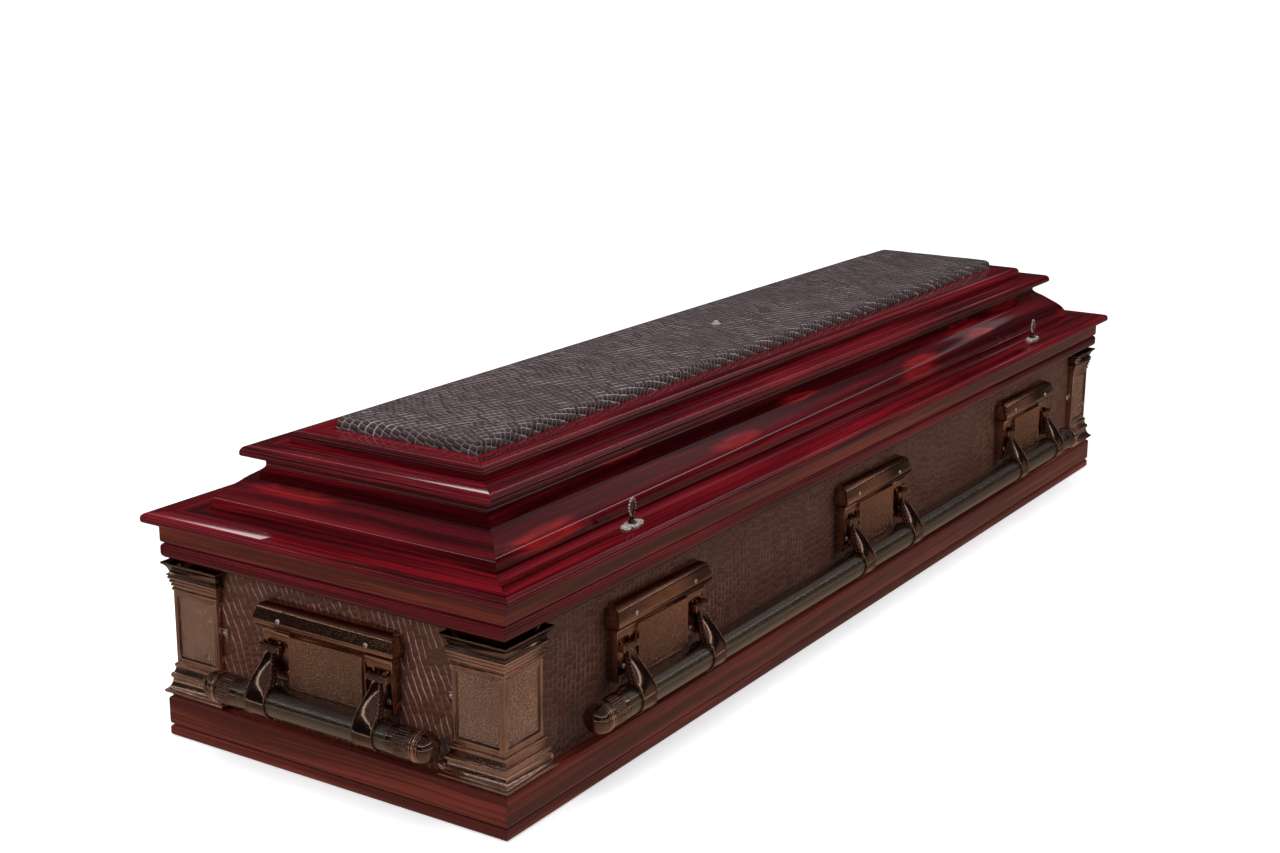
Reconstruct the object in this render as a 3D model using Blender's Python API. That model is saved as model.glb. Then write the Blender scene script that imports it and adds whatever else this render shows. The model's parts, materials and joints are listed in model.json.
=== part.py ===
"""Funeral casket with a lift-off lid, cast corner pilasters and four swing-bar handles.

Metres, +Z up. The casket is long in X and wide in Y, and its underside lies on z = 0 with the
origin at the middle of the footprint. Mouldings are described by outlines of (offset, height):
the offset is measured outwards from the edge of the bottom board, so every frame follows the
board's length and width.
"""
import math

import bmesh
import bpy
from mathutils import Matrix, Vector

# Driving dimensions of the case
BOARD_LENGTH = 2.065
BOARD_WIDTH = 0.591
BOARD_THICK = 0.0162
PLINTH_HEIGHT = 0.0430
PLINTH_ROUND = 0.0050
WALL_SET_BACK = 0.0200
WALL_THICK = 0.0180
WALL_HEIGHT = 0.2464
RIM_HEIGHT = 0.0223
RIM_LOW_ROUND = 0.0072
RIM_HIGH_ROUND = 0.0065

# Driving dimensions of the lid
FASCIA_HEIGHT = 0.0202
FASCIA_ROUND = 0.0040
COVE_RADIUS = 0.0090
LEDGE_REACH = 0.0175
LEDGE_THICK = 0.0145
LEDGE_SEAT = 0.0225
DOME_SET_BACK = 0.0495
DOME_HEIGHT = 0.0627
DOME_RUN = 0.0550
DOME_FOOT = 0.0045
DOME_THICK = 0.0180
CAP_NECK_COVE = 0.0085
CAP_NECK_FILLET = 0.0017
CAP_REACH = 0.0252
CAP_THICK = 0.0148
STEP_SET_BACK = 0.0487
STEP_THICK = 0.0169
STEP_ROUND = 0.0085
PAD_SET_BACK = 0.0455
PAD_THICK = 0.0192
PAD_ROUND = 0.0080

# Driving dimensions of a corner pilaster
PILASTER_LEG = 0.0820
PILASTER_FACE = 0.0103
PILASTER_FOOT_HEIGHT = 0.0500
PILASTER_FOOT_FLARE = 0.0142
PILASTER_CAP_HEIGHT = 0.0420
PILASTER_CAP_FLARE = 0.0113
PILASTER_TOP_GAP = 0.0052
PILASTER_BORDER = 0.0070
PILASTER_SUNK = 0.0016
CAP_RIM_WALL = 0.0020
CAP_HOLLOW_DEPTH = 0.0080
CAP_BACK_WALL = 0.0015
TAB_WIDTH = 0.0120
TAB_HEIGHT = 0.0130
TAB_THICK = 0.0018
TAB_ROOT = 0.0020

# Driving dimensions of the handles
BRACKET_MARGIN = 0.1602
BRACKET_HALF = 0.112
BRACKET_DEPTH = 0.0165
BRACKET_RISE = 0.0660
BRACKET_HEIGHT = 0.0730
BACK_PLATE = 0.0040
HOOD_FLARE = 0.0090
HOOD_HEIGHT = 0.0325
HOOD_TOP_RISE = 0.0070
CHEEK_WIDTH = 0.0480
CENTRE_HEIGHT = 0.0600
CENTRE_PROUD = 0.0035
CENTRE_BORDER = 0.0022
CENTRE_SUNK = 0.0009
CENTRE_DROP = 0.0020
CENTRE_ROOT = 0.0040
NICHE_WALL = 0.0030
NICHE_HEIGHT = 0.0380
ARM_INSET = 0.0190
EYE_LENGTH = 0.0290
EYE_RADIUS = 0.0052
PIN_RADIUS = 0.0030
PIN_CLEARANCE = 0.0009
EAR_THICK = 0.0040
EAR_HEIGHT = 0.0110
EAR_ROOT = 0.0030
EYE_CLEARANCE = 0.0006
PIN_RISE = 0.0505
ARM_DROP = 0.0690
ARM_REACH = 0.0140
ARM_TOP_WIDTH = 0.0090
ARM_FOOT_WIDTH = 0.0300
ARM_THICK = 0.0070
SLEEVE_LENGTH = 0.0340
SLEEVE_WALL = 0.0027
BAR_RADIUS = 0.0200
LONG_OVERHANG = 0.0430
SHORT_OVERHANG = 0.0370
CAP_LENGTH = 0.0680
CAP_FERRULE = 0.0400
CAP_LIP = 0.0004
CAP_RING_REACH = 0.0020
CAP_RINGS = 0.0120

# Driving dimensions of the lid's thumbscrews
SCREW_INSET = 0.3125
SCREW_SET_BACK = 0.0200
ROSE_LENGTH = 0.0480
ROSE_WIDTH = 0.0220
ROSE_THICK = 0.0042
STEM_RADIUS = 0.0040
STEM_HEIGHT = 0.0120
WING_HEIGHT = 0.0240
WING_WIDTH = 0.0150
WING_THICK = 0.0036

# Clearance between touching pieces and facet counts
GAP = 0.0003
ROUND_STEPS = 3
BAR_SIDES = 12
EYE_SIDES = 6
CAP_SIDES = 12
STEM_SIDES = 8
ROSE_SIDES = 16

HALF_LENGTH = BOARD_LENGTH / 2
HALF_WIDTH = BOARD_WIDTH / 2
PLINTH_LOW = BOARD_THICK + GAP
PLINTH_TOP = PLINTH_LOW + PLINTH_HEIGHT
WALL_LOW = BOARD_THICK + GAP
WALL_TOP = WALL_LOW + WALL_HEIGHT
RIM_LOW = WALL_TOP + GAP
RIM_TOP = RIM_LOW + RIM_HEIGHT
LEDGE_LOW = RIM_TOP + GAP
LEDGE_UNDER = LEDGE_LOW + FASCIA_HEIGHT + COVE_RADIUS
LEDGE_TOP = LEDGE_UNDER + LEDGE_THICK
DOME_LOW = LEDGE_TOP + GAP
DOME_TOP = DOME_LOW + DOME_HEIGHT
CAP_LOW = DOME_TOP + GAP
CAP_NOSE_LOW = CAP_LOW + CAP_NECK_FILLET + CAP_NECK_COVE
CAP_TOP = CAP_NOSE_LOW + CAP_THICK
STEP_LOW = CAP_TOP + GAP
STEP_TOP = STEP_LOW + STEP_THICK
PAD_LOW = STEP_TOP + GAP
INNER_FACE = -(WALL_SET_BACK + WALL_THICK)
DOME_EDGE = -DOME_SET_BACK
DOME_NECK = DOME_EDGE - DOME_RUN
CAP_EDGE = DOME_NECK + CAP_REACH
STEP_EDGE = CAP_EDGE - STEP_SET_BACK
PAD_EDGE = STEP_EDGE - PAD_SET_BACK
LONG_WALL = HALF_WIDTH - WALL_SET_BACK
SHORT_WALL = HALF_LENGTH - WALL_SET_BACK
FLARED_HALF = BRACKET_HALF + HOOD_FLARE
CENTRE_HALF = BRACKET_HALF - CHEEK_WIDTH
ARM_SPACING = BRACKET_HALF - ARM_INSET
BRACKET_LOW = PLINTH_TOP + BRACKET_RISE
BRACKET_TOP = BRACKET_LOW + BRACKET_HEIGHT
PILASTER_END = HALF_LENGTH - PILASTER_FACE - PILASTER_LEG
BRACKET_SPACING = PILASTER_END - BRACKET_MARGIN - BRACKET_HALF
LONG_BAR_HALF = BRACKET_SPACING + ARM_SPACING + LONG_OVERHANG
SHORT_BAR_HALF = ARM_SPACING + SHORT_OVERHANG
SCREW_X = HALF_LENGTH - SCREW_INSET
PIN_OUT = GAP + BRACKET_DEPTH + EYE_RADIUS + EYE_CLEARANCE
PIN_HEIGHT = BRACKET_LOW + PIN_RISE

WOOD_RED = (0.115, 0.008, 0.012, 1.0)
WOOD_BROWN = (0.085, 0.020, 0.014, 1.0)
LEATHER = (0.045, 0.022, 0.020, 1.0)
COPPER = (0.23, 0.12, 0.075, 1.0)
GUNMETAL = (0.10, 0.095, 0.08, 1.0)
SILVER = (0.60, 0.56, 0.54, 1.0)


def clear_scene():
    """Remove every object of the scene that the script starts in."""
    for item in list(bpy.data.objects):
        bpy.data.objects.remove(item, do_unlink=True)


def make_material(name, colour, roughness, metallic):
    """A Principled material with one colour."""
    mat = bpy.data.materials.new(name)
    mat.use_nodes = True
    shader = mat.node_tree.nodes["Principled BSDF"]
    shader.inputs["Base Color"].default_value = colour
    shader.inputs["Roughness"].default_value = roughness
    shader.inputs["Metallic"].default_value = metallic
    return mat


def add_object(name, mesh, mat, location=(0, 0, 0), turn=0.0, parent=None):
    """Place a mesh in the scene under a name, turned about Z."""
    if mat is not None and not mesh.materials:
        mesh.materials.append(mat)
    item = bpy.data.objects.new(name, mesh)
    item.location = location
    item.rotation_euler = (0, 0, turn)
    item.parent = parent
    bpy.context.scene.collection.objects.link(item)
    return item


def mesh_from(name, bm, smooth_angle=None):
    """Turn a bmesh into a mesh whose faces point outwards."""
    bmesh.ops.remove_doubles(bm, verts=bm.verts, dist=0.00001)
    bmesh.ops.recalc_face_normals(bm, faces=bm.faces)
    mesh = bpy.data.meshes.new(name)
    bm.to_mesh(mesh)
    bm.free()
    if smooth_angle is not None:
        mesh.shade_smooth()
        mesh.set_sharp_from_angle(angle=math.radians(smooth_angle))
    return mesh


def arc(centre, radius, start, end, steps):
    """Points on an arc from one angle to another, in degrees."""
    points = []
    for i in range(steps + 1):
        angle = math.radians(start + (end - start) * i / steps)
        points.append((centre[0] + radius * math.cos(angle),
                       centre[1] + radius * math.sin(angle)))
    return points


def rounded_edge(outer, low, high, low_round, high_round):
    """The edge of a board from its underside to its top, with both arrises rounded."""
    under = arc((outer - low_round, low + low_round), low_round, -90, 0, ROUND_STEPS)
    over = arc((outer - high_round, high - high_round), high_round, 0, 90, ROUND_STEPS)
    return under + over


def flow(start, start_pull, end, end_pull, steps):
    """Points on a smooth curve that leaves and arrives along two pulls."""
    points = []
    for i in range(steps + 1):
        t = i / steps
        weights = (2 * t**3 - 3 * t**2 + 1, t**3 - 2 * t**2 + t, 3 * t**2 - 2 * t**3, t**3 - t**2)
        points.append(tuple(
            weights[0] * start[k] + weights[1] * start_pull[k]
            + weights[2] * end[k] + weights[3] * end_pull[k] for k in range(2)))
    return points


def rectangle_loop(bm, offset, height):
    """Four corner vertices of the footprint, moved outwards by the offset."""
    x, y = HALF_LENGTH + offset, HALF_WIDTH + offset
    return [bm.verts.new((sx * x, sy * y, height))
            for sx, sy in ((-1, -1), (1, -1), (1, 1), (-1, 1))]


def bridge(bm, lower, upper):
    """Quads between two loops with the same number of vertices."""
    count = len(lower)
    for i in range(count):
        j = (i + 1) % count
        bm.faces.new((lower[i], lower[j], upper[j], upper[i]))


def frame_mesh(name, outline):
    """A mitred frame: the closed outline carried round the footprint."""
    bm = bmesh.new()
    loops = [rectangle_loop(bm, offset, height) for offset, height in outline]
    for i, loop in enumerate(loops):
        bridge(bm, loop, loops[(i + 1) % len(loops)])
    return mesh_from(name, bm)


def board_mesh(name, outline):
    """A full board: the edge outline from underside to top, closed above and below."""
    bm = bmesh.new()
    loops = [rectangle_loop(bm, offset, height) for offset, height in outline]
    for lower, upper in zip(loops, loops[1:]):
        bridge(bm, lower, upper)
    bm.faces.new(loops[0])
    bm.faces.new(loops[-1])
    return mesh_from(name, bm)


def box_mesh(name, low, high):
    """A block between two corners."""
    bm = bmesh.new()
    bmesh.ops.create_cube(bm, size=1.0)
    size = Vector(high) - Vector(low)
    middle = (Vector(high) + Vector(low)) / 2
    bmesh.ops.transform(bm, matrix=Matrix.Translation(middle) @ Matrix.Diagonal((*size, 1)),
                        verts=bm.verts)
    return mesh_from(name, bm)


def turned_mesh(name, outline, sides, along_x=False):
    """A solid of revolution: (height, radius) points about Z, or about X."""
    bm = bmesh.new()
    loops = []
    for height, radius in outline:
        ring = []
        for i in range(sides):
            angle = 2 * math.pi * (i + 0.5) / sides
            ring.append(bm.verts.new((radius * math.cos(angle), radius * math.sin(angle), height)))
        loops.append(ring)
    for lower, upper in zip(loops, loops[1:]):
        bridge(bm, lower, upper)
    bm.faces.new(loops[0])
    bm.faces.new(loops[-1])
    if along_x:
        bmesh.ops.rotate(bm, verts=bm.verts, matrix=Matrix.Rotation(math.pi / 2, 3, "Y"))
    return mesh_from(name, bm, smooth_angle=40)


def combine(name, base, steps):
    """Apply Boolean steps (operation, mesh, place) to a mesh and return the result."""
    whole = add_object(name + "_blank", base, None)
    tools = []
    for number, (operation, mesh, place) in enumerate(steps):
        tool = add_object(f"{name}_tool_{number}", mesh, None, place)
        tool.hide_render = True
        tool.display_type = "WIRE"
        cut = whole.modifiers.new(f"step_{number}", "BOOLEAN")
        cut.operation = operation
        cut.object = tool
        tools.append(tool)
    bpy.context.view_layer.update()
    shape = whole.evaluated_get(bpy.context.evaluated_depsgraph_get())
    bm = bmesh.new()
    bm.from_mesh(shape.to_mesh())
    for item in [whole] + tools:
        bpy.data.objects.remove(item, do_unlink=True)
    bmesh.ops.remove_doubles(bm, verts=bm.verts, dist=0.00002)
    bmesh.ops.dissolve_limit(bm, angle_limit=math.radians(0.5), verts=bm.verts, edges=bm.edges)
    bmesh.ops.triangulate(bm, faces=bm.faces)
    return mesh_from(name, bm, smooth_angle=35)


def make_case(wood, dark_wood, leather):
    """Bottom board, plinth, four covered walls and the rim moulding."""
    edge = rounded_edge(0.0, 0.0, BOARD_THICK, PLINTH_ROUND * 0.8, PLINTH_ROUND)
    add_object("bottom_board", board_mesh("bottom_board", edge), dark_wood)
    edge = rounded_edge(0.0, PLINTH_LOW, PLINTH_TOP, PLINTH_ROUND, PLINTH_ROUND)
    inner = -WALL_SET_BACK + GAP
    edge += [(inner, PLINTH_TOP), (inner, PLINTH_LOW)]
    add_object("plinth_frame", frame_mesh("plinth_frame", edge), dark_wood)
    for side, name in ((-1, "side_wall_front"), (1, "side_wall_back")):
        faces = sorted((side * LONG_WALL, side * (LONG_WALL - WALL_THICK)))
        low = (-SHORT_WALL, faces[0], WALL_LOW)
        high = (SHORT_WALL, faces[1], WALL_TOP)
        add_object(name, box_mesh(name, low, high), leather)
    end_reach = LONG_WALL - WALL_THICK - GAP
    for side, name in ((-1, "end_wall_left"), (1, "end_wall_right")):
        faces = sorted((side * SHORT_WALL, side * (SHORT_WALL - WALL_THICK)))
        low = (faces[0], -end_reach, WALL_LOW)
        high = (faces[1], end_reach, WALL_TOP)
        add_object(name, box_mesh(name, low, high), leather)
    edge = rounded_edge(0.0, RIM_LOW, RIM_TOP, RIM_LOW_ROUND, RIM_HIGH_ROUND)
    edge += [(INNER_FACE, RIM_TOP), (INNER_FACE, RIM_LOW)]
    add_object("rim_frame", frame_mesh("rim_frame", edge), wood)


def ledge_outline():
    """Fascia, cove and rounded ledge of the lid, with the seat of the dome inside."""
    points = arc((-FASCIA_ROUND, LEDGE_LOW + FASCIA_ROUND), FASCIA_ROUND, -90, 0, ROUND_STEPS)
    cove_centre = (COVE_RADIUS, LEDGE_LOW + FASCIA_HEIGHT)
    points += arc(cove_centre, COVE_RADIUS, 180, 90, ROUND_STEPS)
    points += rounded_edge(LEDGE_REACH, LEDGE_UNDER, LEDGE_TOP, LEDGE_THICK * 0.3, LEDGE_THICK * 0.52)
    inner = DOME_EDGE - LEDGE_SEAT
    points += [(inner, LEDGE_TOP), (inner, LEDGE_UNDER)]
    points += [(INNER_FACE, LEDGE_UNDER), (INNER_FACE, LEDGE_LOW)]
    return points


def dome_outline():
    """The dome's moulding: a short foot, a swelling, and a hollow that rises to the neck."""
    rise = DOME_HEIGHT
    foot = (DOME_EDGE, DOME_LOW + DOME_FOOT)
    turn = (DOME_EDGE - DOME_RUN * 0.60, DOME_LOW + rise * 0.66)
    neck = (DOME_NECK, DOME_LOW + rise * 0.94)
    swell = flow((foot[0] - 0.0012, foot[1] + 0.0006), (-0.006, rise * 0.85),
                 turn, (-DOME_RUN * 0.60, rise * 0.46), 6)
    hollow = flow(turn, (-DOME_RUN * 0.42, rise * 0.32), neck, (-0.001, rise * 0.24), 4)
    outer = [(DOME_EDGE, DOME_LOW), foot] + swell + hollow[1:] + [(DOME_NECK, DOME_TOP)]
    inside_neck = DOME_NECK - DOME_THICK
    inner = [(inside_neck, DOME_TOP), (inside_neck, turn[1] + 0.004),
             (turn[0] - DOME_THICK * 0.75, turn[1] - DOME_THICK * 0.55),
             (DOME_EDGE - DOME_THICK, DOME_LOW + rise * 0.22), (DOME_EDGE - DOME_THICK, DOME_LOW)]
    return outer + inner


def cap_board_outline():
    """Edge of the top board: a neck, a cove beneath and a broad rounded nose."""
    points = [(DOME_NECK, CAP_LOW)]
    cove_centre = (DOME_NECK + CAP_NECK_COVE, CAP_LOW + CAP_NECK_FILLET)
    points += arc(cove_centre, CAP_NECK_COVE, 180, 90, ROUND_STEPS)
    points += rounded_edge(CAP_EDGE, CAP_NOSE_LOW, CAP_TOP, CAP_THICK * 0.24, CAP_THICK * 0.66)
    return points


def make_lid(wood, leather):
    """Ledge, dome, top board, step board and the padded panel on it."""
    add_object("lid_ledge_frame", frame_mesh("lid_ledge_frame", ledge_outline()), wood)
    add_object("lid_dome_frame", frame_mesh("lid_dome_frame", dome_outline()), wood)
    add_object("lid_top_board", board_mesh("lid_top_board", cap_board_outline()), wood)
    edge = rounded_edge(STEP_EDGE, STEP_LOW, STEP_TOP, STEP_ROUND * 0.12, STEP_ROUND)
    add_object("lid_step_board", board_mesh("lid_step_board", edge), wood)
    edge = rounded_edge(PAD_EDGE, PAD_LOW, PAD_LOW + PAD_THICK, PAD_ROUND * 0.4, PAD_ROUND)
    add_object("lid_pad", board_mesh("lid_pad", edge), leather)


def shares(points, start, width, height):
    """Points given as shares of a width and a height, set off from a start point."""
    return [(start[0] + width * x, start[1] + height * z) for x, z in points]


def pilaster_outline():
    """Foot, shaft and flared cap of a pilaster, from the plinth upwards."""
    low = PLINTH_TOP + GAP
    shaft = -PILASTER_FACE
    cap_low = RIM_LOW - PILASTER_TOP_GAP - PILASTER_CAP_HEIGHT
    foot = [(0.44, 0.0), (0.51, 0.11), (0.89, 0.124), (1.0, 0.156), (0.96, 0.208)]
    foot += flow((0.75, 0.225), (-0.42, 0.08), (0.34, 0.53), (0.0, 0.32), 3)
    foot += [(0.49, 0.60), (0.46, 0.69), (0.21, 0.77), (0.13, 0.84), (0.21, 0.89), (0.20, 0.968),
             (0.0, 1.0)]
    cap = [(0.0, -0.024), (0.09, 0.0), (0.27, 0.095), (0.30, 0.20), (0.09, 0.286)]
    cap += flow((-0.23, 0.44), (-0.09, 0.286), (0.93, 0.93), (1.24, 0.095), 4)
    cap += [(1.0, 0.948), (1.0, 1.0)]
    return (shares(foot, (shaft, low), PILASTER_FOOT_FLARE, PILASTER_FOOT_HEIGHT)
            + shares(cap, (shaft, cap_low), PILASTER_CAP_FLARE, PILASTER_CAP_HEIGHT))


def pilaster_loop(bm, offset, back, height):
    """The L-shaped outline of a pilaster at one height, for the corner at +X +Y."""
    x, y = HALF_LENGTH + offset, HALF_WIDTH + offset
    reach = PILASTER_LEG + 2 * PILASTER_FACE + offset
    end_x, end_y = HALF_LENGTH - reach, HALF_WIDTH - reach
    back_x, back_y = HALF_LENGTH + back, HALF_WIDTH + back
    corners = ((x, y), (end_x, y), (end_x, back_y), (back_x, back_y), (back_x, end_y), (x, end_y))
    return [bm.verts.new((px, py, height)) for px, py in corners]


def pilaster_mesh():
    """A cast corner pilaster with sunk panels, a hollow flared cap and two screw tabs."""
    back = -WALL_SET_BACK + GAP
    bm = bmesh.new()
    outline = pilaster_outline()
    loops = [pilaster_loop(bm, offset, back, height) for offset, height in outline]
    rim_offset, rim_top = outline[-1]
    inside = back + CAP_BACK_WALL
    loops.append(pilaster_loop(bm, rim_offset - CAP_RIM_WALL, inside, rim_top))
    floor_offset = rim_offset - CAP_RIM_WALL - CAP_HOLLOW_DEPTH * 1.1
    loops.append(pilaster_loop(bm, floor_offset, inside, rim_top - CAP_HOLLOW_DEPTH))
    for lower, upper in zip(loops, loops[1:]):
        bridge(bm, lower, upper)
    bm.faces.new(loops[0])
    bm.faces.new(loops[-1])
    bmesh.ops.recalc_face_normals(bm, faces=bm.faces)
    shaft_x = HALF_LENGTH - PILASTER_FACE
    shaft_y = HALF_WIDTH - PILASTER_FACE
    panels = []
    for face in bm.faces:
        middle = face.calc_center_median()
        tall = max(v.co.z for v in face.verts) - min(v.co.z for v in face.verts) > 0.08
        outer = abs(middle.x - shaft_x) < 1e-4 or abs(middle.y - shaft_y) < 1e-4
        if tall and outer:
            panels.append(face)
    for face in panels:
        bmesh.ops.inset_region(bm, faces=[face], thickness=PILASTER_BORDER, use_even_offset=True)
        bmesh.ops.inset_region(bm, faces=[face], thickness=PILASTER_SUNK, depth=-PILASTER_SUNK,
                               use_even_offset=True)
    mesh = mesh_from("pilaster_body", bm)
    middle = (PLINTH_TOP + RIM_LOW) / 2
    end_x = PILASTER_END
    end_y = HALF_WIDTH - PILASTER_LEG - PILASTER_FACE
    face_x, face_y = HALF_LENGTH + back, HALF_WIDTH + back
    tab_x = box_mesh("tab_x", (end_x - TAB_WIDTH, face_y, middle),
                     (end_x + TAB_ROOT, face_y + TAB_THICK, middle + TAB_HEIGHT))
    tab_y = box_mesh("tab_y", (face_x, end_y - TAB_WIDTH, middle),
                     (face_x + TAB_THICK, end_y + TAB_ROOT, middle + TAB_HEIGHT))
    here = (0, 0, 0)
    return combine("pilaster", mesh, [("UNION", tab_x, here), ("UNION", tab_y, here)])


def make_pilasters(copper):
    """Four pilasters: one mesh for two opposite corners and its mirror image for the others."""
    mesh = pilaster_mesh()
    bm = bmesh.new()
    bm.from_mesh(mesh)
    bmesh.ops.scale(bm, vec=(-1, 1, 1), verts=bm.verts)
    bmesh.ops.reverse_faces(bm, faces=bm.faces)
    mirrored = mesh_from("pilaster_mirrored", bm, smooth_angle=35)
    add_object("pilaster_back_right", mesh, copper)
    add_object("pilaster_front_left", mesh, copper, turn=math.pi)
    add_object("pilaster_back_left", mirrored, copper)
    add_object("pilaster_front_right", mirrored, copper, turn=math.pi)


def bracket_loop(bm, half, depth, height):
    """A rectangle that stands out from the wall plane, which lies at local y = 0."""
    return [bm.verts.new((x, y, height))
            for x, y in ((-half, -GAP), (half, -GAP), (half, -depth - GAP), (-half, -depth - GAP))]


def bracket_mesh():
    """A cast bracket: flared hood, raised centre panel, two niches and their pins."""
    sections = [(0.0, BRACKET_LOW), (0.0, BRACKET_TOP - 2 * GAP)]
    hood = [(0.27, 0.0), (0.24, 0.12), (0.16, 0.35), (0.31, 0.60), (0.75, 0.84), (1.0, 0.90),
            (1.0, 1.0)]
    sections += shares(hood, (0.0, BRACKET_TOP), HOOD_FLARE, HOOD_HEIGHT)
    bm = bmesh.new()
    loops = [bracket_loop(bm, BRACKET_HALF + flare, BRACKET_DEPTH + flare, height)
             for flare, height in sections]
    loops.append(bracket_loop(bm, FLARED_HALF - HOOD_TOP_RISE * 2, BACK_PLATE,
                              BRACKET_TOP + HOOD_HEIGHT + HOOD_TOP_RISE))
    for lower, upper in zip(loops, loops[1:]):
        bridge(bm, lower, upper)
    bm.faces.new(loops[0])
    bm.faces.new(loops[-1])
    body = mesh_from("bracket_body", bm)

    front = -(BRACKET_DEPTH + GAP)
    proud = front - CENTRE_PROUD
    bm = bmesh.new()
    low = BRACKET_LOW - CENTRE_DROP
    bm.from_mesh(box_mesh("centre_block", (-CENTRE_HALF, proud, low),
                          (CENTRE_HALF, front + CENTRE_ROOT, low + CENTRE_HEIGHT)))
    face = min(bm.faces, key=lambda f: f.calc_center_median().y)
    bmesh.ops.inset_region(bm, faces=[face], thickness=CENTRE_BORDER)
    bmesh.ops.inset_region(bm, faces=[face], thickness=CENTRE_SUNK, depth=-CENTRE_SUNK)
    steps = [("UNION", mesh_from("centre_panel", bm), (0, 0, 0))]
    pin_y = -PIN_OUT
    ear_gap = EYE_LENGTH / 2 + GAP
    for side in (-1, 1):
        ends = sorted((side * (CENTRE_HALF + NICHE_WALL), side * (BRACKET_HALF - NICHE_WALL)))
        niche = box_mesh("niche", (ends[0], 2 * front, BRACKET_LOW - BACK_PLATE),
                         (ends[1], -BACK_PLATE - GAP, BRACKET_LOW + NICHE_HEIGHT))
        steps.append(("DIFFERENCE", niche, (0, 0, 0)))
        middle = side * ARM_SPACING
        for ear_side in (-1, 1):
            spread = sorted((middle + ear_side * ear_gap, middle + ear_side * (ear_gap + EAR_THICK)))
            ear = box_mesh("ear", (spread[0], pin_y - EAR_HEIGHT / 2, PIN_HEIGHT - EAR_HEIGHT / 2),
                           (spread[1], front + EAR_ROOT, PIN_HEIGHT + EAR_HEIGHT / 2))
            steps.append(("UNION", ear, (0, 0, 0)))
        reach = ear_gap + EAR_THICK / 2
        pin = turned_mesh("pin", [(-reach, PIN_RADIUS), (reach, PIN_RADIUS)], EYE_SIDES, True)
        steps.append(("UNION", pin, (middle, pin_y, PIN_HEIGHT)))
    return combine("bracket", body, steps)


def arm_mesh():
    """A swing arm about its pin: a pierced eye, a widening web and the sleeve round the bar."""
    half_eye = EYE_LENGTH / 2
    half_sleeve = SLEEVE_LENGTH / 2
    bore = BAR_RADIUS + GAP
    eye = turned_mesh("eye", [(-half_eye, EYE_RADIUS), (half_eye, EYE_RADIUS)], EYE_SIDES, True)
    outer = bore + SLEEVE_WALL
    sleeve = turned_mesh("sleeve", [(-half_sleeve, outer), (half_sleeve, outer)],
                         BAR_SIDES, True)
    bar = (0, -ARM_REACH, -ARM_DROP)
    bm = bmesh.new()
    across = Vector((0, -ARM_DROP, ARM_REACH)).normalized() * (ARM_THICK / 2)
    top, foot = Vector((0, 0, 0)), Vector(bar)
    rings = []
    for share, width in ((0.0, ARM_TOP_WIDTH), (0.45, ARM_TOP_WIDTH * 1.25), (1.0, ARM_FOOT_WIDTH)):
        middle = top.lerp(foot, share)
        side = Vector((width / 2, 0, 0))
        rings.append([bm.verts.new(middle + a * side + b * across)
                      for a, b in ((-1, -1), (1, -1), (1, 1), (-1, 1))])
    for lower, upper in zip(rings, rings[1:]):
        bridge(bm, lower, upper)
    bm.faces.new(rings[0])
    bm.faces.new(rings[-1])
    web = mesh_from("web", bm)
    cut = SLEEVE_LENGTH
    pin_bore = PIN_RADIUS + PIN_CLEARANCE
    bar_hole = turned_mesh("bar_hole", [(-cut, bore), (cut, bore)], BAR_SIDES, True)
    pin_hole = turned_mesh("pin_hole", [(-cut, pin_bore), (cut, pin_bore)], EYE_SIDES, True)
    steps = [("UNION", eye, (0, 0, 0)), ("UNION", sleeve, bar),
             ("DIFFERENCE", bar_hole, bar), ("DIFFERENCE", pin_hole, (0, 0, 0))]
    return combine("arm", web, steps)


def end_cap_outline():
    """A bar's end cap along the bar: ferrule, a swelling for the rings and a domed tip."""
    sleeve = BAR_RADIUS + CAP_LIP
    ring = BAR_RADIUS + CAP_RING_REACH
    rings_end = CAP_FERRULE + CAP_RINGS
    points = [(0.0, sleeve), (CAP_FERRULE * 0.96, sleeve), (CAP_FERRULE, ring * 0.94),
              (CAP_FERRULE + CAP_RINGS * 0.45, ring), (rings_end, ring * 0.92)]
    for angle in (32, 56, 78):
        turn = math.radians(angle)
        points.append((rings_end + (CAP_LENGTH - rings_end) * math.sin(turn),
                       ring * 0.92 * math.cos(turn)))
    return points


def make_brackets(copper):
    """Three brackets on each long side and one on each end."""
    mesh = bracket_mesh()
    for turn, side, name in ((0.0, -1, "front"), (math.pi, 1, "back")):
        for place, word in ((-1, "left"), (0, "middle"), (1, "right")):
            location = (place * BRACKET_SPACING, side * LONG_WALL, 0)
            add_object(f"bracket_{name}_{word}", mesh, copper, location, turn)
    for turn, side, name in ((-math.pi / 2, -1, "left_end"), (math.pi / 2, 1, "right_end")):
        add_object(f"bracket_{name}", mesh, copper, (side * SHORT_WALL, 0, 0), turn)


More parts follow.
